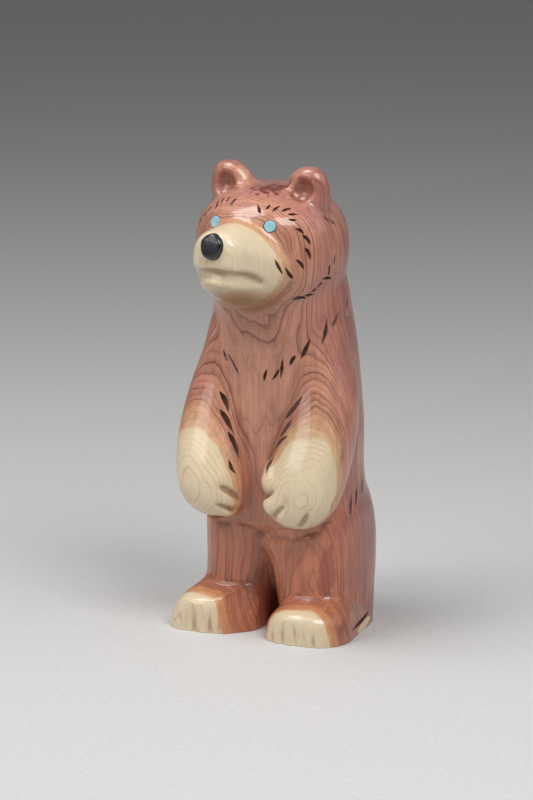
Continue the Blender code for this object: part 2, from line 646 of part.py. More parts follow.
def main():
    for old in list(bpy.data.objects):
        bpy.data.objects.remove(old, do_unlink=True)
    body = shape_body()
    thin = body.modifiers.new("thin", "DECIMATE")
    thin.ratio = FACES_KEPT
    surface = surface_of(body)
    stones, pockets = shape_inlays(surface)
    hollows = (shape_mouth(surface), shape_ear_scoops(), shape_nicks(surface), shape_grooves(surface))
    carve(body, (*shape_flats(), *hollows, pockets))
    body.data.materials.clear()
    body.data.materials.append(finish("cedar", *CEDAR))
    turquoise = finish("turquoise", *TURQUOISE)
    jet = finish("black_stone", *JET)
    for stone, look in zip(stones, (turquoise, turquoise, jet)):
        stone.data.shade_smooth()
        stone.data.set_sharp_from_angle(angle=SHARP_ANGLE)
        stone.data.materials.append(look)
    stand_at_origin([body, *stones])


main()
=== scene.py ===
"""A standing bear carved from one piece of juniper and lacquered, with turquoise eyes and a black stone nose.

Metres, +Z up, the bear faces -Y. The carving is laid out in units of a 150th of its height, in a layout
whose floor is z = 0 and whose origin lies between the feet, a little behind the frame's own origin.
"""

import logging
import math
import random
from contextlib import contextmanager
from dataclasses import dataclass, field
from enum import Enum
from functools import reduce
from typing import ClassVar, Iterator, Sequence

import bpy
import numpy as np
from mathutils import Matrix, Vector
from mathutils.bvhtree import BVHTree


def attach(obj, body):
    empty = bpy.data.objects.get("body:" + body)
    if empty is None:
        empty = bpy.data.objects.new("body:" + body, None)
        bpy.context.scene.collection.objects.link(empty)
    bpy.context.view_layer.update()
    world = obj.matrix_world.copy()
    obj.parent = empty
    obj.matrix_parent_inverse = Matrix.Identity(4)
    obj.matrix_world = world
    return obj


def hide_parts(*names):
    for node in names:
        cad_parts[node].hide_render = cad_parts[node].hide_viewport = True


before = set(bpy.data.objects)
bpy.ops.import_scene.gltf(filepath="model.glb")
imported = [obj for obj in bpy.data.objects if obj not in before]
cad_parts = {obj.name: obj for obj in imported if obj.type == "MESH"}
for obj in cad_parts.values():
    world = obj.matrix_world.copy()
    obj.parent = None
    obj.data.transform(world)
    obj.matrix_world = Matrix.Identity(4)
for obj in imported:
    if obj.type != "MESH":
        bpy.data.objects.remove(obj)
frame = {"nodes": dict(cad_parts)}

Piece = bpy.types.Object
Socket = bpy.types.NodeSocket
Triple = tuple[float, float, float]
Section = tuple[float, float, float, float, float, float]
# Where an eased change starts and ends, and its values there, which are 0 and 1 unless given
Span = tuple[float, ...]
# What feeds the sockets of a node
Feeds = dict[int | str, object]

LOG = logging.getLogger("bear")
BODY = "root"
# The attribute that tells how hollow the body is; the lacquered wood paints shade by it
HOLLOW = "hollow"
UNIT = 0.001
LAYOUT_SHIFT = Vector((0.516, 16.769, 0.0)) * UNIT
FAR = 100.0


class Direction(Enum):
    """How the sections of a form are stacked."""

    UPRIGHT = "upright"
    LEVEL = "level"


def at(x: float, y: float, z: float) -> Vector:
    """The place in the frame of a point of the layout."""
    return Vector((x, y, z)) * UNIT + LAYOUT_SHIFT


# The head, turned a little to the bear's right, and the neck below it
HEAD_TURN = math.radians(4.5)
HEAD_PIVOT = at(-1.2, -10.0, 0.0)
HEAD_FRAME = (
    Matrix.Translation(HEAD_PIVOT) @ Matrix.Rotation(-HEAD_TURN, 4, "Z") @ Matrix.Translation(-HEAD_PIVOT)
)
HEAD_X = -2.0
NECK_HEIGHT = 100.0
NECK_BLEND = 10.0


def clear_selection() -> None:
    """Leaves object mode with nothing selected."""
    if bpy.context.object and bpy.context.object.mode != "OBJECT":
        bpy.ops.object.mode_set(mode="OBJECT")
    bpy.ops.object.select_all(action="DESELECT")


def pick(*pieces: Piece) -> None:
    """Selects these pieces alone.

    Args:
        pieces: what is selected, the first of them active.
    """
    clear_selection()
    for piece in pieces:
        piece.select_set(True)
    bpy.context.view_layer.objects.active = pieces[0]


def discard(*pieces: Piece) -> None:
    """Takes pieces that are no longer needed out of the scene."""
    for piece in pieces:
        bpy.data.objects.remove(piece, do_unlink=True)


def named(name: str) -> Piece:
    """The object that is active, under a new name."""
    bpy.context.object.name = name
    return bpy.context.object


def joined(name: str, pieces: Sequence[Piece]) -> Piece:
    """One object made of several.

    Args:
        name: the object's name.
        pieces: what is joined into the first of them.
    Returns:
        The object.
    """
    pick(*pieces)
    if len(pieces) > 1:
        bpy.ops.object.join()
    return named(name)


@contextmanager
def editing(piece: Piece) -> Iterator[None]:
    """Edit mode with the whole of a piece selected.

    Args:
        piece: the piece.
    """
    pick(piece)
    bpy.ops.object.mode_set(mode="EDIT")
    bpy.ops.mesh.select_all(action="SELECT")
    yield
    bpy.ops.object.mode_set(mode="OBJECT")


def tower(name: str, points: int, rings: int) -> Piece:
    """A straight closed tower of equal rings, one apart, ready to be given its form.

    Args:
        name: the object's name.
        points: corners of each ring.
        rings: how many rings there are.
    Returns:
        The tower, whose corner at ring r and turn t is at (cos t, sin t, r).
    """
    clear_selection()
    bpy.ops.mesh.primitive_circle_add(vertices=points, radius=1.0, fill_type="NGON")
    piece = named(name)
    with editing(piece):
        for _ in range(rings - 1):
            bpy.ops.mesh.extrude_region_move(TRANSFORM_OT_translate={"value": (0.0, 0.0, 1.0)})
    return piece


def face_outwards(piece: Piece) -> None:
    """Turns the faces of a closed piece outwards."""
    with editing(piece):
        bpy.ops.mesh.normals_make_consistent(inside=False)


def merge_near(piece: Piece, distance: float) -> None:
    """Makes one corner of those that a cut has left closer together than a distance."""
    with editing(piece):
        bpy.ops.mesh.remove_doubles(threshold=distance)


def rounded(turn: float, half_width: float, half_height: float, squareness: float) -> tuple[float, float]:
    """A point of a rounded outline.

    Args:
        turn: the point's direction from the middle.
        half_width: half the outline's size across.
        half_height: half its size along.
        squareness: 2 is an ellipse, and more is squarer.
    Returns:
        The point's places across and along.
    """
    across, along = math.cos(turn), math.sin(turn)
    reach = (abs(across) ** squareness + abs(along) ** squareness) ** (-1.0 / squareness)
    return half_width * reach * across, half_height * reach * along


@dataclass(frozen=True)
class Form:
    """A rounded form through its sections.

    A section is its station, middle across, middle along, half width, half height and squareness. The
    station is the height of an upright form, and the y of a level one.
    """

    name: str
    sections: Sequence[Section]
    direction: Direction = Direction.UPRIGHT
    frame: Matrix = field(default_factory=lambda: Matrix.Identity(4))
    points: int = 56
    steps: int = 7

    def mirrored(self, name: str) -> "Form":
        """The same form on the figure's other side."""
        return Form(name, swapped(self.sections), self.direction, self.frame, self.points, self.steps)

    def eased(self) -> list[Vector]:
        """The sections with more between them.

        Returns:
            Sections on one smooth curve through the form's own.
        """
        table = [Vector(section) for section in self.sections]
        ends = [2 * table[0] - table[1], *table, 2 * table[-1] - table[-2]]
        rows = []
        for before, here, after, beyond in zip(ends, ends[1:], ends[2:], ends[3:]):
            for step in range(self.steps):
                t = step / self.steps
                straight = (after - before) * t
                bend = (2 * before - 5 * here + 4 * after - beyond) * t**2
                twist = (3 * here - before - 3 * after + beyond) * t**3
                rows.append(here + 0.5 * (straight + bend + twist))
        rows.append(table[-1])
        return rows

    def build(self) -> Piece:
        """The form as a closed piece.

        Returns:
            The piece in its place.
        """
        rows = self.eased()
        piece = tower(self.name, self.points, len(rows))
        for vertex in piece.data.vertices:
            station, across, along, half_width, half_height, squareness = rows[round(vertex.co.z)]
            turn = math.atan2(vertex.co.y, vertex.co.x)
            u, v = rounded(turn, half_width, half_height, squareness)
            place = (across + u, along + v, station)
            if self.direction is Direction.LEVEL:
                place = (across + u, station, along + v)
            vertex.co = self.frame @ at(*place)
        face_outwards(piece)
        return piece


def swapped(sections: Sequence[Section]) -> tuple[Section, ...]:
    """Sections for the figure's other side."""
    return tuple((station, -across, *rest) for station, across, *rest in sections)


def modify(piece: Piece, kind: str, **settings: object) -> None:
    """Gives a piece one modifier and applies it.

    Args:
        piece: the piece.
        kind: the kind of modifier.
        settings: the modifier's settings by their names.
    """
    pick(piece)
    change = piece.modifiers.new("change", kind)
    for name, value in settings.items():
        setattr(change, name, value)
    bpy.ops.object.modifier_apply(modifier=change.name)


def fuse(piece: Piece, voxel: float, passes: int) -> None:
    """Makes one skin of overlapping forms and softens it where they meet."""
    modify(piece, "REMESH", mode="VOXEL", voxel_size=voxel, use_smooth_shade=True)
    modify(piece, "SMOOTH", factor=0.5, iterations=passes)


def cut(piece: Piece, cutter: Piece) -> None:
    """Cuts a form out of a piece and takes the form away."""
    modify(piece, "BOOLEAN", operation="DIFFERENCE", solver="EXACT", object=cutter)
    discard(cutter)


def surface_of(piece: Piece) -> BVHTree:
    """The piece's surface, for finding places on it."""
    corners = [vertex.co for vertex in piece.data.vertices]
    return BVHTree.FromPolygons(corners, [tuple(face.vertices) for face in piece.data.polygons])


def block(name: str, own_frame: Matrix, low: Sequence[float], high: Sequence[float]) -> Piece:
    """A plain block of waste.

    Args:
        name: the block's name.
        own_frame: the frame in which its corners are given.
        low: its lowest corner, in units.
        high: its highest corner, in units.
    Returns:
        The block.
    """
    low_corner, high_corner = Vector(low) * UNIT, Vector(high) * UNIT
    clear_selection()
    bpy.ops.mesh.primitive_cube_add(size=1.0, location=(low_corner + high_corner) / 2)
    piece = named(name)
    piece.scale = high_corner - low_corner
    bpy.ops.object.transform_apply(location=True, rotation=True, scale=True)
    piece.data.transform(own_frame)
    return piece


def ball(name: str, own_frame: Matrix, radii: Sequence[float], rounds: int) -> Piece:
    """A ball with three half sizes.

    Args:
        name: the ball's name.
        own_frame: the frame that it lies in.
        radii: its half sizes in metres.
        rounds: how many faces go round it.
    Returns:
        The ball.
    """
    clear_selection()
    bpy.ops.mesh.primitive_uv_sphere_add(segments=rounds, ring_count=rounds // 2, radius=1.0)
    piece = named(name)
    piece.data.transform(own_frame @ Matrix.Diagonal((*radii, 1.0)))
    return piece


@dataclass(frozen=True)
class Cut:
    """A gouge's cut: three places on the surface, the way out of the wood, width and depth in metres."""

    bow: Vector
    middle: Vector
    stern: Vector
    outward: Vector
    width: float
    depth: float
    clear_share: ClassVar[float] = 0.8
    least_clear: ClassVar[float] = 0.0008

    def line(self) -> list[Vector]:
        """Places along the cut, a quarter of its length apart."""
        before, after = (self.bow + self.middle) / 2, (self.middle + self.stern) / 2
        return [self.bow, before, self.middle, after, self.stern]

    def touches(self, other: "Cut") -> bool:
        """Whether the two cuts may run into each other.

        Args:
            other: the second cut.
        Returns:
            True where they come nearer than their widths and the steps of their lines allow.
        """
        clear = (self.width + other.width) * self.clear_share + self.least_clear
        near = clear + ((self.stern - self.bow).length / 8 + (other.stern - other.bow).length / 8)
        return any((first - second).length < near for first in self.line() for second in other.line())


def apart(spots: Sequence[Cut]) -> list[list[Cut]]:
    """Shares cuts out among rounds.

    Args:
        spots: all the cuts.
    Returns:
        As many rounds as it takes for no two cuts of a round to touch.
    """
    rounds: list[list[Cut]] = []
    for spot in spots:
        own = next((own for own in rounds if not any(spot.touches(other) for other in own)), None)
        if own is None:
            own = []
            rounds.append(own)
        own.append(spot)
    return rounds


@dataclass(frozen=True)
class PhotoView:
    """The photograph's view of the figure: its direction, and how its pixels lie on the layout."""

    azimuth: float = math.radians(25.0)
    elevation: float = math.radians(13.0)
    distance: float = 1.1
    image: tuple[int, int] = (533, 800)
    pixels_per_metre: float = 3130.0
    target: Triple = (0.0, -6.0, 73.0)
    target_pixel: tuple[float, float] = (284.975, 398.401)
    least_facing: float = 0.25

    def axes(self) -> tuple[Vector, Vector, Vector]:
        """The view's own directions.

        Returns:
            Its right, up and back.
        """
        level, rise = math.cos(self.elevation), math.sin(self.elevation)
        right = Vector((math.cos(self.azimuth), math.sin(self.azimuth), 0.0))
        back = Vector((math.sin(self.azimuth) * level, -math.cos(self.azimuth) * level, rise))
        return right, back.cross(right), back

    def place(self, x: float, y: float) -> Vector:
        """The place of a pixel on the plane through the target.

        Args:
            x: the pixel's column.
            y: its row, from the top.
        Returns:
            The place.
        """
        right, up, _ = self.axes()
        shift = right * (x - self.target_pixel[0]) - up * (y - self.target_pixel[1])
        return at(*self.target) + shift / self.pixels_per_metre

    def eye(self) -> Vector:
        """Where the camera stands."""
        return self.place(self.image[0] / 2, self.image[1] / 2) + self.axes()[2] * self.distance

    def meet(self, surface: BVHTree, x: float, y: float) -> tuple[Vector, Vector]:
        """Where a pixel's line meets the surface, or passes nearest to it.

        Args:
            surface: the surface.
            x: the pixel's column.
            y: its row, from the top.
        Returns:
            The place, and the way out of the wood there.
        """
        eye, place = self.eye(), self.place(x, y)
        spot, outward, _, _ = surface.ray_cast(eye, (place - eye).normalized())
        if spot is None:
            spot, outward, _, _ = surface.find_nearest(place)
        return spot, outward

    def beside(self, surface: BVHTree, middle: Vector, outward: Vector, x: float, y: float) -> Vector:
        """The surface's place for a pixel that is near the pixel of a known place.

        Args:
            surface: the surface.
            middle: the known place.
            outward: the way out of the wood there.
            x: the pixel's column.
            y: its row, from the top.
        Returns:
            The place.
        """
        eye = self.eye()
        line = (self.place(x, y) - eye).normalized()
        level = eye + line * (middle - eye).length
        reach = (middle - level).dot(outward) / min(line.dot(outward), -self.least_facing)
        return surface.find_nearest(level + line * reach)[0]


PHOTO = PhotoView()


@dataclass(frozen=True)
class Nick:
    """One nick as the photograph shows it.

    Its middle and length are in pixels, its lean from level in degrees, its width and depth in units. Its
    points reach a little further than can be seen.
    """

    x: float
    y: float
    length: float
    lean: float
    width: float = 1.0
    depth: float = 0.9
    both_sides: bool = False
    point_reach: ClassVar[float] = 1.1

    def cuts(self, surface: BVHTree) -> Iterator[Cut]:
        """The nick's cut, and its match on the other side where it has one.

        Args:
            surface: the surface that it is cut into.
        Returns:
            The cuts, one after the other.
        """
        lean = math.radians(self.lean)
        half = self.length * self.point_reach / 2
        across, down = half * math.cos(lean), -half * math.sin(lean)
        middle, outward = PHOTO.meet(surface, self.x, self.y)
        bow = PHOTO.beside(surface, middle, outward, self.x - across, self.y - down)
        stern = PHOTO.beside(surface, middle, outward, self.x + across, self.y + down)
        width, depth = self.width * UNIT, self.depth * UNIT
        yield Cut(bow, middle, stern, outward, width, depth)
        if self.both_sides:
            middle, outward, _, _ = surface.find_nearest(opposite(middle))
            bow, stern = (surface.find_nearest(opposite(end))[0] for end in (bow, stern))
            yield Cut(bow, middle, stern, outward, width, depth)


def opposite(place: Vector) -> Vector:
    """The matching place on the figure's other side.

    Args:
        place: a place on the body or the head.
    Returns:
        The place mirrored about the body's middle plane or the head's.
    """
    plain = (place - LAYOUT_SHIFT) / UNIT
    head_share = min(max((plain.z - NECK_HEIGHT) / NECK_BLEND, 0.0), 1.0)
    return at(2.0 * HEAD_X * head_share - plain.x, plain.y, plain.z)


def mark_hollows(piece: Piece, name: str) -> None:
    """Gives each corner of a piece a value for how hollow the surface is there, from 0 to 1, by which the
    lacquered wood paints shade into its hollows.

    Args:
        piece: the finished piece.
        name: the attribute's name.
    """
    full_depth, passes, least, most = 0.035 * UNIT, 5, -0.5, 2.0
    mesh = piece.data
    total = len(mesh.vertices)
    places = np.empty(total * 3)
    outwards = np.empty(total * 3)
    edges = np.empty(len(mesh.edges) * 2, dtype=np.int32)
    mesh.vertices.foreach_get("co", places)
    mesh.vertex_normals.foreach_get("vector", outwards)
    mesh.edges.foreach_get("vertices", edges)
    places, outwards, edges = places.reshape(-1, 3), outwards.reshape(-1, 3), edges.reshape(-1, 2)
    share = 1.0 / np.maximum(np.bincount(edges.ravel(), minlength=total), 1)

    def around(values: np.ndarray) -> np.ndarray:
        """The mean of each corner's neighbours."""
        first = np.bincount(edges[:, 0], values[edges[:, 1]], total)
        return (first + np.bincount(edges[:, 1], values[edges[:, 0]], total)) * share

    means = np.stack([around(places[:, axis]) for axis in range(3)], axis=1)
    hollow = np.clip(((means - places) * outwards).sum(axis=1) / full_depth, least, most)
    for _ in range(passes):
        hollow = (hollow + around(hollow)) / 2
    attribute = mesh.attributes.new(name, "FLOAT", "POINT")
    attribute.data.foreach_set("value", np.clip(hollow, 0.0, 1.0))


class GougeSet:
    """Boat-shaped cutters, modelled once and copied to each place."""

    rounds = 12
    lift = 0.0007
    point_shares = (0.4, 0.95)
    point_power = 0.85
    wall_power = 0.8
    sway = 0.4

    def __init__(self, name: str, chance: random.Random) -> None:
        """Models the first cutter.

        Args:
            name: the name of all the cutters as one.
            chance: where the cutters' small differences come from.
        """
        self.name = name
        self.chance = chance
        self.model = ball(f"{name}_model", Matrix.Identity(4), (1.0, 1.0, 1.0), self.rounds)
        self.boats: list[Piece] = []

    def add(self, spot: Cut) -> None:
        """One more cutter, bent to lie along its three places, each of its ends more or less blunt.

        Args:
            spot: the cut.
        """
        boat = self.model.copy()
        boat.data = self.model.data.copy()
        bpy.context.scene.collection.objects.link(boat)
        across = (spot.stern - spot.bow).cross(spot.outward).normalized()
        wander = self.chance.uniform(-self.sway, self.sway)
        tapers = [self.chance.uniform(*self.point_shares) for _ in range(2)]
        for vertex in boat.data.vertices:
            share = max(-1.0, min(1.0, vertex.co.z))
            radius = math.hypot(vertex.co.x, vertex.co.y)
            side = vertex.co.x / radius if radius > 1e-6 else 0.0
            rise = vertex.co.y / radius if radius > 1e-6 else 0.0
            full = min(1.0, (1.0 - abs(share)) / tapers[share > 0.0]) ** self.point_power
            line = spot.middle + (spot.stern - spot.bow) * share / 2
            line += (spot.bow + spot.stern - 2 * spot.middle) * share**2 / 2
            bend = wander * spot.width * (1 - share**2)
            below = -spot.depth * full * (1.0 - abs(side)) ** self.wall_power
            height = rise * self.lift if rise > 0.0 else below
            vertex.co = line + across * (side * full * spot.width / 2 + bend) + spot.outward * height
        self.boats.append(boat)

    def finish(self) -> Piece:
        """Ends the set.

        Returns:
            All the cutters as one.
        """
        discard(self.model)
        cutter = joined(self.name, self.boats)
        face_outwards(cutter)
        return cutter


class Graph:
    """A node tree while it is put together."""

    # Sockets of a Mix node for colours: the two colours, and the result
    mix_colours = (6, 7)
    mix_result = 2

    def __init__(self, tree: bpy.types.NodeTree) -> None:
        """Takes up a tree."""
        self.tree = tree

    def node(self, kind: str, feeds: Feeds | None = None, **settings: object) -> bpy.types.Node:
        """A new node.

        Args:
            kind: the kind of node.
            feeds: what feeds its sockets.
            settings: its settings by their names.
        Returns:
            The node.
        """
        made = self.tree.nodes.new(kind)
        for name, value in settings.items():
            setattr(made, name, value)
        for name, value in (feeds or {}).items():
            self.feed(made.inputs[name], value)
        return made

    def feed(self, socket: Socket, value: object) -> None:
        """Links a socket to another one, or gives it a plain value.

        Args:
            socket: the socket that is fed.
            value: the other socket, or the value.
        """
        if isinstance(value, Socket):
            self.tree.links.new(value, socket)
        else:
            socket.default_value = value

    def number(self, operation: str, *values: object) -> Socket:
        """The result of a Math node."""
        return self.node("ShaderNodeMath", dict(enumerate(values)), operation=operation).outputs[0]

    def add(self, *values: object) -> Socket:
        """The sum of some values."""
        return reduce(lambda first, second: self.number("ADD", first, second), values)

    def multiply(self, *values: object) -> Socket:
        """The product of some values."""
        return reduce(lambda first, second: self.number("MULTIPLY", first, second), values)

    def vector(self, operation: str, *values: object) -> Socket:
        """The vector that a Vector Math node gives."""
        return self.node("ShaderNodeVectorMath", dict(enumerate(values)), operation=operation).outputs[0]

    def length(self, vector: Socket) -> Socket:
        """A vector's length."""
        return self.node("ShaderNodeVectorMath", {0: vector}, operation="LENGTH").outputs["Value"]

    def noise(self, vector: Socket, scale: Triple, detail: float, rough: float = 0.5) -> bpy.types.Node:
        """Noise whose features are about one unit wide once the vector is scaled.

        Args:
            vector: where it is read.
            scale: what the vector is scaled by.
            detail: how much fine noise it has.
            rough: how strong the fine noise is.
        Returns:
            The noise node.
        """
        scaled = self.vector("MULTIPLY", vector, scale)
        feeds = {"Vector": scaled, "Scale": 1.0, "Detail": detail, "Roughness": rough}
        return self.node("ShaderNodeTexNoise", feeds)

    def pushed(self, vector: Socket, place: Socket, scale: Triple, detail: float, reach: Triple) -> Socket:
        """A vector that noise moves about.

        Args:
            vector: what is moved.
            place: where the noise is read.
            scale: the noise's scale.
            detail: the noise's detail.
            reach: how far apart the noise's ends move it.
        Returns:
            The moved vector.
        """
        push = self.vector("SUBTRACT", self.noise(place, scale, detail).outputs["Color"], (0.5, 0.5, 0.5))
        return self.vector("ADD", vector, self.vector("MULTIPLY", push, reach))

    def oval(self, place: Socket, middle: Sequence[float], sizes: Triple, turn: Sequence[float]) -> Socket:
        """Places as an oval has them: its middle is at nought, and its edge is one away.

        Args:
            place: the places.
            middle: the oval's middle.
            sizes: its half sizes.
            turn: how it is turned.
        Returns:
            The oval's own places.
        """
        feeds = {"Vector": place, "Location": middle, "Rotation": turn, "Scale": sizes}
        return self.node("ShaderNodeMapping", feeds, vector_type="TEXTURE").outputs[0]

    def span(
        self, value: Socket, low: float, high: float, to_low: float = 0.0, to_high: float = 1.0
    ) -> Socket:
        """A value eased from one range to another, and held at its ends."""
        feeds = {"Value": value, "From Min": low, "From Max": high, "To Min": to_low, "To Max": to_high}
        return self.node("ShaderNodeMapRange", feeds, interpolation_type="SMOOTHSTEP").outputs[0]

    def mix(self, share: object, first: object, second: object, blend: str = "MIX") -> Socket:
        """Two colours mixed.

        Args:
            share: how much the second counts.
            first: a colour, or its socket.
            second: a colour, or its socket.
            blend: the way in which they are mixed.
        Returns:
            The mixed colour.
        """
        made = self.node("ShaderNodeMix", {0: share}, data_type="RGBA", blend_type=blend)
        for index, colour in zip(self.mix_colours, (first, second)):
            self.feed(made.inputs[index], colour if isinstance(colour, Socket) else (*colour, 1.0))
        return made.outputs[self.mix_result]

    def ramp(self, value: object, stops: Sequence[tuple[float, Triple]], between: str = "LINEAR") -> Socket:
        """A colour ramp.

        Args:
            value: what the ramp reads.
            stops: the place and the colour of each stop.
            between: how the colours pass into one another.
        Returns:
            The ramp's colour.
        """
        made = self.node("ShaderNodeValToRGB", {0: value})
        made.color_ramp.interpolation = between
        elements = made.color_ramp.elements
        while len(elements) > 1:
            elements.remove(elements[-1])
        for index, (place, colour) in enumerate(stops):
            stop = elements[0] if index == 0 else elements.new(place)
            stop.position = place
            stop.color = (*colour, 1.0)
        return made.outputs[0]


@dataclass(frozen=True)
class Speckle:
    """Noise by its scale, detail and roughness, eased over a span."""

    scale: Triple
    detail: float
    rough: float
    span: Span

    def value(self, graph: Graph, place: Socket) -> Socket:
        """The eased noise at each place."""
        noise = graph.noise(place, self.scale, self.detail, self.rough).outputs["Fac"]
        return graph.span(noise, *self.span)


class StainAndPaintedLight(Enum):
    """The colours of the wood's stains and flaws, of painted shade mixed with some of them, and of a painted
    highlight.
    """

    # Heart red with painted shade, in the hollows of the ears
    EAR_RED = (0.37, 0.125, 0.085)
    FLAME = (0.24, 0.055, 0.035)
    SCORCH = (0.14, 0.025, 0.017)
    KNOT = (0.16, 0.085, 0.04)
    # Tan wood, and also a painted highlight along the left leg's inner edge
    TAN = (0.54, 0.33, 0.18)
    # Tan wood with painted shade, under the jaw and onto the neck
    JAW = (0.27, 0.145, 0.062)
    # Darker mottled wood with painted shade on the left foot, and painted shade along the haunch
    BRUISE = (0.19, 0.075, 0.06)
    CREAM = (0.70, 0.56, 0.34)


@dataclass(frozen=True)
class Patch:
    """A soft-edged oval patch of colour: its strength, middle pixel, half sizes in units, and lean in
    degrees. Most patches are the wood's own stains; some add painted shade, and one is a painted highlight.
    """

    stain_and_light: StainAndPaintedLight
    strength: float
    x: float
    y: float
    across: float
    along: float
    depth: float
    lean: float = 0.0
    soft: float = 0.4
    ragged: float = 0.5
    edge_waves: ClassVar[Triple] = (0.5, 0.5, 0.3)
    edge_detail: ClassVar[float] = 2.0

    def over(self, graph: Graph, place: Socket, surface: BVHTree, colour: Socket) -> Socket:
        """Lays the patch over a colour.

        Args:
            graph: the figure's graph.
            place: places in units of the layout.
            surface: the carving's surface, on which the patch is found.
            colour: the colour beneath it.
        Returns:
            The colour with the patch over it.
        """
        middle, _ = PHOTO.meet(surface, self.x, self.y)
        view = Matrix(PHOTO.axes()).transposed() @ Matrix.Rotation(math.radians(self.lean), 3, "Z")
        sizes = (self.across, self.along, self.depth)
        own = graph.oval(place, (middle - LAYOUT_SHIFT) / UNIT, sizes, view.to_euler())
        own = graph.pushed(own, place, self.edge_waves, self.edge_detail, (self.ragged * 2,) * 3)
        share = graph.span(graph.length(own), 1.0 - self.soft, 1.0, 1.0, 0.0)
        return graph.mix(graph.multiply(share, self.strength), colour, self.stain_and_light.value)


PATCHES = (
    # Hollows of the ears, heart red with painted shade; top of the head; under the jaw, tan wood with painted
    # shade
    Patch(StainAndPaintedLight.EAR_RED, 0.55, 228, 176, 3.6, 3.2, 6.0),
    Patch(StainAndPaintedLight.EAR_RED, 0.55, 305, 186, 3.4, 3.2, 6.0),
    Patch(StainAndPaintedLight.SCORCH, 0.95, 271, 188, 6.4, 3.0, 9.0, 4.0, 0.5, 1.4),
    Patch(StainAndPaintedLight.JAW, 0.95, 238, 302, 21.0, 6.4, 20.0, -8.0, 0.95, 0.1),
    # Left forearm; left foot, darker mottled wood with painted shade; painted shade along the haunch's far
    # edge; beside the right ear
    Patch(StainAndPaintedLight.TAN, 0.7, 301, 436, 9.0, 2.0, 5.0, 0.0, 0.6, 0.2),
    Patch(StainAndPaintedLight.BRUISE, 0.6, 345, 628, 6.0, 4.4, 8.0, 0.0, 0.8, 0.8),
    Patch(StainAndPaintedLight.BRUISE, 0.5, 362, 485, 3.0, 15.0, 8.0, 0.0, 0.9, 0.7),
    Patch(StainAndPaintedLight.TAN, 0.55, 244, 172, 3.4, 3.0, 6.0, 0.0, 0.6, 0.8),
    # Legs, the sliver of sapwood at the left heel, and a painted highlight along the left leg's inner edge
    Patch(StainAndPaintedLight.FLAME, 0.55, 327, 573, 3.0, 9.0, 6.0, -8.0, 0.15),
    Patch(StainAndPaintedLight.KNOT, 0.60, 254, 580, 4.6, 7.2, 6.0, -20.0, 0.7, 0.8),
    Patch(StainAndPaintedLight.KNOT, 0.60, 356, 611, 2.6, 3.6, 6.0, 0.0, 0.6, 0.9),
    Patch(StainAndPaintedLight.CREAM, 0.95, 364, 624.6, 4.3, 1.1, 14.0, 45.0, 0.25, 0.12),
    # A painted highlight where the left leg's inner edge catches the light
    Patch(StainAndPaintedLight.TAN, 0.55, 276.6, 574, 0.8, 9.0, 3.0, 7.0, 0.6, 0.3),
)


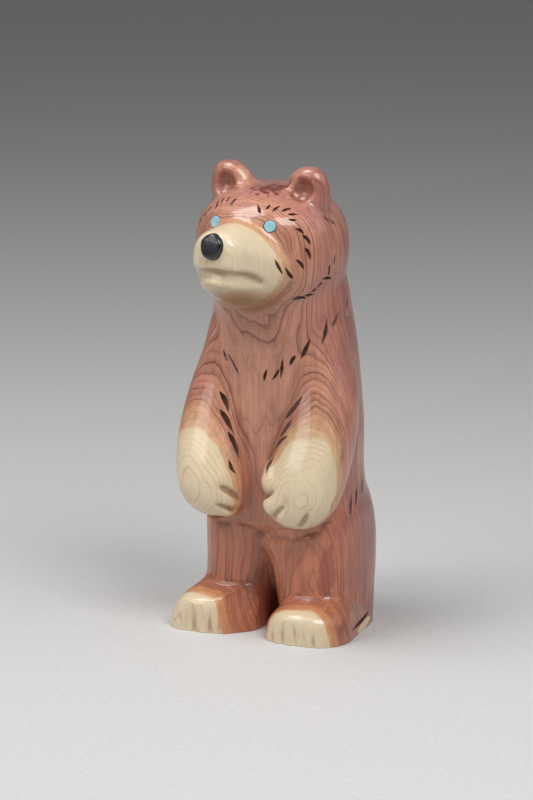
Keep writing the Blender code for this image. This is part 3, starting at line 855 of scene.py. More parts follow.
@dataclass(frozen=True)
class JuniperFigure:
    """The figure of the wood: growth rings about a far pith that leans, red heart, pale sapwood and fibres,
    with painted shade low down and in some patches.

    Depths are counted in units from the sapwood's inner edge into the heart.
    """

    pith: tuple[float, float] = (0.0, 66.0)
    sapwood_from: float = 95.3
    lean: float = 0.048
    # Bulges of the rings: middle, half sizes and reach
    bulges: Sequence[tuple[Triple, Triple, float]] = (
        ((-6.0, -30.0, 6.0), (9.0, 24.0, 26.0), 2.4),
        ((32.0, -27.0, 6.0), (14.0, 24.0, 30.0), 4.6),
    )
    bulge_core: float = 0.2
    # Waves of the rings, from wide to narrow: scale and reach
    waves: Sequence[tuple[Triple, float]] = (
        ((0.034, 0.034, 0.020), 5.0),
        ((0.13, 0.13, 0.06), 2.2),
        ((0.45, 0.45, 0.12), 0.40),
    )
    # Colours by depth
    zones: Sequence[tuple[float, Triple]] = (
        (-6.0, (0.69, 0.57, 0.39)),
        (-0.4, (0.67, 0.54, 0.35)),
        (0.15, (0.56, 0.35, 0.19)),
        (1.1, (0.56, 0.34, 0.175)),
        (1.6, (0.53, 0.30, 0.16)),
        (3.2, (0.50, 0.25, 0.135)),
        (4.0, (0.47, 0.205, 0.128)),
        (9.0, (0.46, 0.195, 0.13)),
        (13.0, (0.41, 0.165, 0.13)),
        (19.0, (0.36, 0.135, 0.105)),
        (28.0, (0.32, 0.124, 0.108)),
        (40.0, (0.21, 0.080, 0.062)),
    )
    heart_edge: Span = (-0.3, 0.2)
    blotch: Speckle = Speckle((0.10, 0.10, 0.05), 3.0, 0.6, (0.42, 0.64, 0.0, 0.7))
    blotch_red: Triple = (0.51, 0.24, 0.145)
    # Lighter and darker wood
    streak: Speckle = Speckle((0.8, 0.8, 0.03), 3.0, 0.6, (0.36, 0.64, -0.10, 0.10))
    fibre: Speckle = Speckle((3.4, 3.4, 0.16), 3.0, 0.6, (0.3, 0.7, -1.0, 1.0))
    fibre_shade: float = 0.09
    fibre_height: float = 0.3
    band_scale: float = 0.75
    band_detail: float = 2.0
    band_shade: Span = (0.36, 0.64, -0.11, 0.11)
    sap_shade: float = 0.2
    # Painted shade: the heart grows darker and redder towards the floor, between the heights of 62 and 18
    # units
    low_shade_heights: Span = (62.0, 18.0)
    low_painted_shade: Triple = (0.95, 0.74, 0.60)
    # Late wood lines of the heart, the first rings' strengths given one by one
    ring: float = 0.85
    ring_limit: int = 64
    first_rings: Sequence[float] = (0.2, 0.35, 0.25, 0.3, 1, 0.75, 0.9, 0.45, 0.7, 0.95, 0.4, 0.65, 0.9, 0.5)
    later_rings: Span = (0.15, 1.0, 0.25, 1.0)
    slow_rise: Span = (0.25, 0.80, 0.0, 0.36)
    quick_rise: Span = (0.74, 0.90, 0.0, 0.64)
    ring_end: Span = (0.965, 1.0, 1.0, 0.0)
    first_line: Span = (0.0, 0.3)
    line: Triple = (0.125, 0.024, 0.015)
    line_strength: float = 0.85
    # Where lines fade, and how much they do on the legs
    fade_scale: Triple = (0.10, 0.10, 0.06)
    fade_detail: float = 2.0
    fade: Span = (0.34, 0.54, 0.5, 1.0)
    leg_spans: tuple[Span, Span] = ((18.0, 27.0), (68.0, 50.0))
    leg_fade: float = 0.6
    # Lines of the sapwood, counted from far outside it
    sap_ring: float = 0.8
    sap_outside: float = 90.0
    sap_line_span: Span = (0.25, 0.0)
    sap_edge: Span = (0.0, -0.4)
    sap_fade: Span = (0.38, 0.58, 0.3, 1.0)
    sap_line: Triple = (0.53, 0.27, 0.075)
    sap_strength: float = 0.55

    def depth(self, graph: Graph, place: Socket) -> Socket:
        """How deep inside the sapwood's edge a place is.

        Args:
            graph: the figure's graph.
            place: places in units of the layout.
        Returns:
            The depth.
        """
        bent = place
        for scale, reach in self.waves:
            bent = graph.pushed(bent, place, scale, 1.0, (reach, reach, 0.0))
        height = graph.node("ShaderNodeSeparateXYZ", {0: place}).outputs["Z"]
        tilt = graph.node("ShaderNodeCombineXYZ", {"Y": graph.multiply(height, self.lean)}).outputs[0]
        flat = graph.vector("SUBTRACT", graph.vector("ADD", bent, tilt), (*self.pith, 0.0))
        radius = graph.length(graph.vector("MULTIPLY", flat, (1.0, 1.0, 0.0)))
        depth = graph.number("SUBTRACT", self.sapwood_from, radius)
        for middle, sizes, reach in self.bulges:
            away = graph.length(graph.oval(place, middle, sizes, (0.0, 0.0, 0.0)))
            depth = graph.add(depth, graph.span(away, self.bulge_core, 1.0, reach, 0.0))
        return depth

    def ground(self, graph: Graph, place: Socket, depth: Socket, heart: Socket) -> Socket:
        """The colour of the depth, redder here and there in the heart.

        Args:
            graph: the figure's graph.
            place: places in units of the layout.
            depth: their depths.
            heart: how far they belong to the heart.
        Returns:
            The colour.
        """
        start, end = self.zones[0][0], self.zones[-1][0]
        feeds = {"Value": depth, "From Min": start, "From Max": end}
        share = graph.node("ShaderNodeMapRange", feeds).outputs[0]
        colour = graph.ramp(share, [((step - start) / (end - start), tone) for step, tone in self.zones])
        return graph.mix(heart, colour, graph.mix(self.blotch.value(graph, place), colour, self.blotch_red))

    def shade(self, graph: Graph, place: Socket, depth: Socket, heart: Socket, fibre: Socket) -> Socket:
        """How much lighter or darker than its ground the wood is.

        Args:
            graph: the figure's graph.
            place: places in units of the layout.
            depth: their depths.
            heart: how far they belong to the heart.
            fibre: the fibres there.
        Returns:
            The factor.
        """
        feeds = {"W": depth, "Scale": self.band_scale, "Detail": self.band_detail}
        bands = graph.node("ShaderNodeTexNoise", feeds, noise_dimensions="1D").outputs["Fac"]
        bands = graph.span(bands, *self.band_shade)
        shade = graph.add(self.streak.value(graph, place), graph.multiply(fibre, self.fibre_shade), bands)
        return graph.add(graph.multiply(shade, graph.span(heart, 0.0, 1.0, self.sap_shade, 1.0)), 1.0)

    def heart_lines(self, graph: Graph, depth: Socket) -> Socket:
        """Late wood lines: they darken slowly outwards, end sharply, and differ from ring to ring.

        Args:
            graph: the figure's graph.
            depth: the depth.
        Returns:
            The lines' strength.
        """
        count = graph.number("SUBTRACT", float(self.ring_limit), graph.number("DIVIDE", depth, self.ring))
        share, whole = graph.number("FRACT", count), graph.number("FLOOR", count)
        number = graph.number("SUBTRACT", self.ring_limit - 0.5, whole)
        later = graph.node("ShaderNodeTexWhiteNoise", {"W": whole}, noise_dimensions="1D").outputs["Value"]
        total = len(self.first_rings)
        stops = [(index / total, (strength,) * 3) for index, strength in enumerate(self.first_rings)]
        first = graph.ramp(graph.number("DIVIDE", number, float(total)), stops, "CONSTANT")
        is_later = graph.number("GREATER_THAN", number, float(total))
        strength = graph.mix(is_later, first, graph.span(later, *self.later_rings))
        rise = graph.add(graph.span(share, *self.slow_rise), graph.span(share, *self.quick_rise))
        end = graph.span(share, *self.ring_end)
        return graph.multiply(rise, end, strength, graph.span(depth, *self.first_line))

    def sap_lines(self, graph: Graph, depth: Socket) -> Socket:
        """The sapwood's faint lines.

        Args:
            graph: the figure's graph.
            depth: the depth.
        Returns:
            The lines' strength.
        """
        count = graph.number("DIVIDE", graph.add(depth, self.sap_outside), self.sap_ring)
        share = graph.number("FRACT", count)
        return graph.multiply(graph.span(share, *self.sap_line_span), graph.span(depth, *self.sap_edge))

    def build(self, surface: BVHTree) -> bpy.types.NodeTree:
        """The node group, which reads a place in units of the layout.

        Args:
            surface: the carving's surface, on which the patches are found.
        Returns:
            The group, which gives the wood's colour and the height of its fine relief.
        """
        tree = bpy.data.node_groups.new("juniper_figure", "ShaderNodeTree")
        tree.interface.new_socket(name="Vector", in_out="INPUT", socket_type="NodeSocketVector")
        tree.interface.new_socket(name="Color", in_out="OUTPUT", socket_type="NodeSocketColor")
        tree.interface.new_socket(name="Height", in_out="OUTPUT", socket_type="NodeSocketFloat")
        graph = Graph(tree)
        place = graph.node("NodeGroupInput").outputs["Vector"]
        height = graph.node("ShaderNodeSeparateXYZ", {0: place}).outputs["Z"]
        depth = self.depth(graph, place)
        heart = graph.span(depth, *self.heart_edge)
        fibre = self.fibre.value(graph, place)

        colour = self.ground(graph, place, depth, heart)
        shade = self.shade(graph, place, depth, heart, fibre)
        colour = graph.node("ShaderNodeVectorMath", {0: colour, 3: shade}, operation="SCALE").outputs[0]
        # Painted shade, darker and redder towards the floor
        low = graph.multiply(graph.span(height, *self.low_shade_heights), heart)
        colour = graph.mix(low, colour, self.low_painted_shade, "MULTIPLY")

        fade = graph.noise(place, self.fade_scale, self.fade_detail).outputs["Fac"]
        legs = graph.multiply(*(graph.span(height, *span) for span in self.leg_spans))
        legs = graph.number("MULTIPLY_ADD", legs, -self.leg_fade, 1.0)
        lines = graph.multiply(self.heart_lines(graph, depth), graph.span(fade, *self.fade), legs)
        colour = graph.mix(graph.multiply(lines, self.line_strength), colour, self.line)
        sap_lines = graph.multiply(self.sap_lines(graph, depth), graph.span(fade, *self.sap_fade))
        colour = graph.mix(graph.multiply(sap_lines, self.sap_strength), colour, self.sap_line)
        # The patches: the wood's stains, with painted shade and a painted highlight among them
        for patch in PATCHES:
            colour = patch.over(graph, place, surface, colour)

        relief = graph.number("SUBTRACT", graph.multiply(fibre, self.fibre_height), lines)
        graph.node("NodeGroupOutput", {"Color": colour, "Height": relief})
        return tree


@dataclass(frozen=True)
class Finish:
    """A surface's plain shader values, with the height of its relief in metres."""

    name: str
    roughness: float
    coat: float
    coat_roughness: float
    bump_distance: float
    bump_strength: float = 1.0
    specular: float = 0.5

    def start(self) -> tuple[bpy.types.Material, Graph, bpy.types.Node, Socket]:
        """A material with this finish.

        Returns:
            The material, its graph, its shader, and the place in units of the layout.
        """
        material = bpy.data.materials.new(self.name)
        material.use_nodes = True
        graph = Graph(material.node_tree)
        shader = material.node_tree.nodes["Principled BSDF"]
        shader.inputs["Roughness"].default_value = self.roughness
        shader.inputs["Coat Weight"].default_value = self.coat
        shader.inputs["Coat Roughness"].default_value = self.coat_roughness
        shader.inputs["Specular IOR Level"].default_value = self.specular
        where = graph.node("ShaderNodeTexCoord").outputs["Object"]
        feeds = {"Vector": where, "Scale": (1.0 / UNIT,) * 3, "Location": -LAYOUT_SHIFT / UNIT}
        return material, graph, shader, graph.node("ShaderNodeMapping", feeds).outputs[0]

    def dress(self, graph: Graph, shader: bpy.types.Node, colour: Socket, height: Socket) -> None:
        """Gives the shader its colour and its fine relief.

        Args:
            graph: the material's graph.
            shader: its shader.
            colour: the colour.
            height: the relief.
        """
        graph.feed(shader.inputs["Base Color"], colour)
        bump = graph.node("ShaderNodeBump", {"Height": height})
        bump.inputs["Distance"].default_value = self.bump_distance
        bump.inputs["Strength"].default_value = self.bump_strength
        graph.feed(shader.inputs["Normal"], bump.outputs[0])


@dataclass(frozen=True)
class LacqueredWood(Finish):
    """Polished juniper under a clear lacquer, with shade painted into its hollows."""

    # Painted shade in the hollows: how hollow a place must be for it and how strong it grows, then the colour
    # that multiplies the wood there
    hollow: Span = (0.15, 1.0, 0.0, 0.62)
    hollow_painted_shade: Triple = (0.46, 0.30, 0.21)
    # Unevenness of the polish: scale and height
    swell: tuple[Triple, float] = ((0.26, 0.26, 0.15), 3.2)
    ripple: tuple[Triple, float] = ((0.9, 0.9, 0.35), 0.45)
    grain_height: float = 0.09
    gloss: Speckle = Speckle((0.5, 0.5, 0.2), 3.0, 0.5, (0.3, 0.7, 0.42, 0.58))

    def build(self, figure: bpy.types.NodeTree) -> bpy.types.Material:
        """The material.

        Args:
            figure: the wood's figure.
        Returns:
            The material.
        """
        material, graph, shader, place = self.start()
        wood = graph.node("ShaderNodeGroup", None, node_tree=figure)
        graph.feed(wood.inputs["Vector"], place)
        # Painted shade: the colour is darker where the surface is hollow
        hollow = graph.node("ShaderNodeAttribute", None, attribute_name=HOLLOW).outputs["Fac"]
        hollow = graph.span(hollow, *self.hollow)
        colour = graph.mix(hollow, wood.outputs["Color"], self.hollow_painted_shade, "MULTIPLY")
        height = graph.multiply(wood.outputs["Height"], self.grain_height)
        for scale, rise in (self.swell, self.ripple):
            height = graph.add(height, graph.multiply(graph.noise(place, scale, 1.0).outputs["Fac"], rise))
        self.dress(graph, shader, colour, height)
        graph.feed(shader.inputs["Roughness"], self.gloss.value(graph, place))
        return material


@dataclass(frozen=True)
class CutWood(Finish):
    """The dark inside of a gouge's cut."""

    dark: Triple = (0.080, 0.029, 0.019)
    scale: Triple = (1.6, 1.6, 0.7)
    detail: float = 4.0
    rough: float = 0.65
    bare: Span = (0.4, 0.8, 0.0, 0.45)

    def build(self, figure: bpy.types.NodeTree) -> bpy.types.Material:
        """The material.

        Args:
            figure: the wood's figure, which shows a little where the inside is less dark.
        Returns:
            The material.
        """
        material, graph, shader, place = self.start()
        wood = graph.node("ShaderNodeGroup", None, node_tree=figure)
        graph.feed(wood.inputs["Vector"], place)
        rough = graph.noise(place, self.scale, self.detail, self.rough).outputs["Fac"]
        colour = graph.mix(graph.span(rough, *self.bare), self.dark, wood.outputs["Color"])
        self.dress(graph, shader, colour, rough)
        return material


@dataclass(frozen=True)
class Clouded(Finish):
    """A surface clouded in its tones, and veined where it has a vein's colour."""

    cloud: float = 0.6
    detail: float = 3.0
    tones: Sequence[tuple[float, Triple]] = ()
    vein: Triple | None = None
    vein_scale: float = 0.9
    vein_edge: Span = (0.0, 0.05, 0.5, 0.0)

    def build(self) -> bpy.types.Material:
        """The material.

        Returns:
            The material.
        """
        material, graph, shader, place = self.start()
        cloud = graph.noise(place, (self.cloud,) * 3, self.detail).outputs["Fac"]
        colour = graph.ramp(cloud, self.tones)
        if self.vein:
            feeds = {"Vector": place, "Scale": self.vein_scale}
            crack = graph.node("ShaderNodeTexVoronoi", feeds, feature="DISTANCE_TO_EDGE")
            colour = graph.mix(graph.span(crack.outputs["Distance"], *self.vein_edge), colour, self.vein)
        self.dress(graph, shader, colour, cloud)
        return material


LACQUERED_WOOD = LacqueredWood("cedar", 0.5, 0.8, 0.13, 0.00016, 0.6, 0.35)
CUT_WOOD = CutWood("cut_wood", 0.45, 0.6, 0.15, 0.0003)
TURQUOISE = Clouded(
    "turquoise", 0.28, 0.4, 0.08, 0.00004, cloud=0.7, detail=4.0, vein=(0.18, 0.24, 0.20),
    tones=((0.3, (0.19, 0.40, 0.49)), (0.5, (0.26, 0.50, 0.57)), (0.7, (0.38, 0.60, 0.64))),
)
JET = Clouded(
    "black_stone", 0.25, 0.35, 0.06, 0.00006, cloud=0.5,
    tones=((0.3, (0.010, 0.010, 0.012)), (0.7, (0.022, 0.022, 0.024))),
)
PALE_FLOOR = Clouded(
    "pale_floor", 0.7, 0.0, 0.3, 0.0002, tones=((0.3, (0.56, 0.56, 0.55)), (0.7, (0.60, 0.60, 0.59)))
)

# Sections that the left limbs have and the right ones mirror
THIGH = (
    (38, 12, -2, 13.6, 20, 2.4),
    (48, 11.6, -2.4, 11, 17.4, 2.3),
    (58, 10, -3, 8, 12, 2.2),
)
UPPER_ARM = (
    (60, 17, -21.2, 12.1, 12.6, 2.4),
    (70, 17.6, -17, 11.4, 12.6, 2.3),
    (80, 16.6, -13.8, 10.8, 12, 2.2),
    (90, 14.4, -12, 9.8, 11.6, 2.2),
    (100, 12.6, -11.4, 9.2, 11.2, 2.1),
    (112, 10, -11, 7, 9, 2),
)

# The forms that are fused into the body
TORSO = Form("torso", (
    (31.5, 0, -3.5, 18, 14, 2.4),
    (34.5, 0, -3.5, 24, 20, 2.4),
    (41, 0, -3.6, 25, 21.6, 2.4),
    (52, 0, -4, 24.4, 20.8, 2.4),
    (66, 0, -4.9, 25.2, 20, 2.3),
    (80, 0, -5.4, 24.2, 19.8, 2.3),
    (92, 0, -6, 23.2, 20.4, 2.2),
    (103, 0, -7.4, 21.8, 20.6, 2.2),
    (114, -1.2, -9, 21.6, 20.4, 2.2),
    (124, -1.8, -10.4, 19, 18.4, 2.2),
    (132, -2, -11.4, 12, 11, 2.1),
))
WEB_BEHIND_LEGS = Form("web_behind_legs", (
    (-6, 0, 4.5, 9, 11.5, 2.6),
    (16, 0, 4, 9, 12, 2.6),
    (36, 0, 0, 9, 16, 2.6),
))
LEFT_LEG = Form("leg_left", (
    (-6, 14, -3, 12, 17.6, 2.8),
    (4, 13.7, -2.8, 12.4, 18.6, 3),
    (12, 13, -2.5, 13.1, 19.4, 3),
    (18, 12.6, -2.2, 13.6, 20, 3),
    (24, 11.5, -2.1, 14.7, 20.3, 3.1),
    (30, 9.9, -2, 16.2, 20.4, 3.1),
    *THIGH,
))
RIGHT_LEG = Form("leg_right", (
    (-6, -14.2, -3, 11.8, 17.6, 2.7),
    (4, -14.1, -2.8, 12, 18.6, 2.7),
    (12, -13, -2.5, 13.2, 19.4, 2.4),
    (18, -12, -2.2, 14.2, 20, 2.2),
    (24, -11.6, -2.1, 14.6, 20.3, 2.2),
    (30, -11.4, -2, 14.8, 20.4, 2.3),
    *swapped(THIGH),
))
LEFT_ARM = Form("arm_left", (
    (37.4, 14.6, -26.5, 4.5, 5, 2.2),
    (39.5, 14.8, -26.2, 8.2, 8, 2.3),
    (44, 15.2, -25.6, 11, 10.4, 2.4),
    (51, 15.9, -24.2, 12.2, 12.1, 2.4),
    *UPPER_ARM,
))
RIGHT_ARM = Form("arm_right", (
    (38.6, -13.9, -26.3, 4.5, 5, 2.2),
    (40.7, -14, -26.2, 8.1, 8, 2.3),
    (45, -14.8, -25.7, 10.9, 10.4, 2.4),
    (51.6, -15.8, -24.2, 12.1, 12.1, 2.4),
    *swapped(UPPER_ARM),
))
LEFT_FOOT = Form("foot_left", (
    (14, 14, -6, 8, 10, 2.4),
    (4, 15.2, -6, 12.2, 14, 2.5),
    (-14, 16.2, -5, 13, 19.6, 2.6),
    (-20, 16.3, -4, 13.6, 17.4, 2.8),
    (-24, 16.2, -4, 13.6, 15.6, 3.2),
    (-28, 15.7, -4, 12.5, 14.4, 3.6),
    (-30, 15.3, -4, 11.1, 14.1, 3.6),
    (-31.6, 15.3, -4, 9.1, 13.6, 3.4),
    (-32.6, 15.4, -4, 6.8, 12.8, 3.2),
    (-33, 15.5, -4, 4.6, 11.6, 3),
), Direction.LEVEL)
RIGHT_FOOT = Form("foot_right", (
    (14, -14, -6, 8, 10, 2.4),
    (4, -15.2, -6, 12.6, 14, 2.5),
    (-14, -15.8, -5, 13.5, 20.2, 2.6),
    (-20, -16.2, -4, 13.7, 18.6, 2.7),
    (-24, -17.3, -4, 13.8, 17.2, 2.8),
    (-28, -18.3, -4, 12.1, 15.8, 3),
    (-30, -19, -4, 10.2, 15.2, 3),
    (-31.2, -19.6, -4, 8.3, 14.6, 3),
    (-31.9, -19.4, -4, 5.8, 13.8, 2.9),
    (-32.2, -19.4, -4, 4, 12.4, 2.8),
), Direction.LEVEL)
RIGHT_FOOT_INSIDE = Form("foot_right_inside", (
    (-8, -9, 3, 6.4, 15, 4),
    (-14, -9, 3, 6.8, 14.2, 4),
    (-18, -9, 2, 6.8, 13.6, 4),
    (-22, -9.4, 1.5, 6.8, 12.5, 4),
    (-26, -10.8, 1, 6.2, 11.7, 4),
    (-29.4, -12.8, 0.5, 5, 10.6, 4),
), Direction.LEVEL)
HEAD = Form("head", (
    (103, HEAD_X, -14, 12, 10, 2.2),
    (107.5, HEAD_X, -13, 19, 16.6, 2.2),
    (114, HEAD_X, -11.6, 22.8, 21.2, 2.2),
    (123, HEAD_X, -11, 24, 23, 2.2),
    (131, HEAD_X, -11.2, 22.6, 23, 2.2),
    (136.6, HEAD_X, -11.7, 19.3, 20.6, 2.2),
    (141.4, HEAD_X, -11.3, 13.2, 14.2, 2.1),
    (143.4, HEAD_X, -11, 6.6, 7.2, 2),
), frame=HEAD_FRAME)
MUZZLE = Form("muzzle", (
    (-14, -2, 119.2, 20.6, 13, 2.1),
    (-22, -2, 119.4, 20.4, 13.8, 1.9),
    (-28, -1.8, 119.9, 18.4, 14, 1.7),
    (-33, -1.6, 120.6, 15.8, 13.8, 1.7),
    (-38, -1.4, 121.6, 13, 12.9, 1.8),
    (-43, -1.3, 122.8, 10.5, 11.4, 2.1),
    (-47, -1.2, 124, 8.7, 9.7, 2.4),
    (-49.4, -1.2, 124.9, 7, 8.2, 2.3),
    (-50.4, -1.2, 125.2, 4.8, 6, 2),
), Direction.LEVEL, HEAD_FRAME)
EAR_SHIFT = Matrix.Translation((HEAD_X * UNIT, 0, 0))
EAR = Form("ear_left", (
    (134, 11.6, -12, 7, 5.4, 2.1),
    (138, 12.6, -12.2, 8.2, 5.2, 2.1),
    (142, 13, -12.5, 8.1, 4.8, 2.1),
    (146, 13.7, -12.7, 6.7, 4.3, 2.1),
    (148.6, 14.2, -12.8, 4.7, 3.4, 2),
    (150, 14.4, -12.8, 2.2, 2, 2),
), frame=HEAD_FRAME @ EAR_SHIFT)

SOFT_GROOVES = (
    # Between the claws, bear's right paw and then its left
    Nick(232, 495.5, 38, -31, 3, 2.2),
    Nick(228.5, 511.5, 40, -23, 3, 2.1),
    Nick(212, 515.5, 32, -23, 2.6, 1.6),
    Nick(265, 493.5, 22, 38, 2.8, 2),
    Nick(276.5, 518, 30, 54, 3, 2.2),
    Nick(304, 521.5, 34, 66, 2.8, 1.9),
    # Under the belly
    Nick(227, 522.5, 34, -14, 2.4, 0.5),
    Nick(250, 529.5, 42, -16, 2.4, 0.6),
    Nick(277, 536.5, 38, -8, 2.4, 0.6),
    Nick(304, 536, 42, 14, 2.4, 0.6),
    Nick(327, 527, 28, 28, 2.4, 0.55),
    # Between the left arm and the flank
    Nick(341.5, 466, 52, 81, 2, 0.8),
    Nick(334.5, 504, 24, 68, 2, 0.8),
)
CLAW_LUMPS = (
    # Pixel of the middle, radius, and how far behind the surface it lies
    (274, 470, 3.8, 3.6),
    (272.5, 482, 4, 3.6),
    (274, 504, 4, 3.6),
    (282, 512, 3.9, 3.6),
    (229.5, 510, 2.8, 2.6),
)
NICKS = (
    # Brow, bear's right and then its left
    Nick(200.7, 220.5, 6, 60, 0.8, 0.6),
    Nick(205.6, 213.6, 9, 60),
    Nick(209.4, 210, 8, 56, 0.8),
    Nick(216.5, 204.8, 10, 70),
    Nick(223, 200.4, 7, 60, 0.8),
    Nick(228.4, 199, 7, 55, 0.8),
    Nick(233.3, 201.5, 9, 50),
    Nick(258.8, 209, 9, -75),
    Nick(268, 207, 6, 50, 0.8),
    Nick(276.6, 208.6, 10, 35),
    Nick(286.4, 210, 10, 17),
    Nick(292.8, 214.2, 10, 0),
    Nick(292.2, 219.6, 9, -4, 0.9),
    # Left cheek, from beside the eye down
    Nick(299.4, 231.3, 10, -30, 1.1),
    Nick(306.5, 240, 12, -50, 1.2),
    Nick(307.9, 253.6, 12, -65, 1.2),
    Nick(300, 264.4, 12, -50, 1.2),
    Nick(279.4, 266.9, 17, -63, 1.1, 0.9, True),
    Nick(289.7, 273.1, 14, -55, 1.2, 0.9, True),
    # Ruff below the cheek and up behind it
    Nick(299.4, 299.7, 13, 0, 1.6, 0.9, True),
    Nick(308.4, 296, 11, 12, 1.2, 0.9, True),
    Nick(313.4, 290, 9, 40, 1, 0.8),
    Nick(319.2, 285.4, 9, 45, 1, 0.8, True),
    Nick(327, 279, 9, 5, 1, 0.8, True),
    Nick(329.4, 270, 11, 85, 1.1, 0.9, True),
    Nick(334.4, 259.5, 11, 80, 0.8, 0.7, True),
    Nick(326, 219.4, 7, -45, 0.8, 0.5, True),
    Nick(331.4, 220.5, 10, -45, 0.9, 0.6, True),
    # Neck, from the side round to the breast
    Nick(347, 308, 22, 88, 1.3, 0.9, True),
    Nick(335.2, 319.5, 16, 66, 1.3, 0.9, True),
    Nick(324.1, 331.1, 26, 78, 1.5, 1),
    Nick(305.4, 348.5, 21, 65, 1.4, 1),
    Nick(292.8, 360.7, 11, 62, 1.2),
    Nick(281.4, 368.4, 19, 85, 1.2),
    Nick(275.2, 374.2, 13, 58, 1.1),
    Nick(265.5, 375.3, 12, 75, 1.1),
    Nick(233.5, 365.5, 24, -64, 0.9, 0.6),
    Nick(225.4, 355, 12, -72, 0.8, 0.5),
    # Insides of the arms
    Nick(224, 402, 22, -67, 1.7, 1.2),
    Nick(226.8, 421.4, 27, -60, 1.8, 1.2),
    Nick(233.3, 444.6, 27, -67, 1.8, 1.2),
    Nick(232.6, 466.4, 15, -65, 1.5, 1.1),
    Nick(292.7, 407.4, 27, 52, 1.8, 1.2),
    Nick(284.4, 429.2, 23, 55, 1.7, 1.2),
    Nick(277.2, 445, 24, 53, 1.7, 1.2),
    Nick(269.4, 463, 23, 62, 1.7, 1.2),
    # Haunch
    Nick(350, 506.3, 23, 85, 1.3, 0.9, True),
    Nick(356, 498, 20, 86, 1.2, 0.9, True),
    Nick(362.2, 487, 16, 88, 1.1, 0.9, True),
    Nick(366, 486, 7, 90, 0.8, 0.6, True),
    # Crack over the flaw in the left heel
    Nick(361, 620.5, 25, 48, 1.3, 1.3),
)


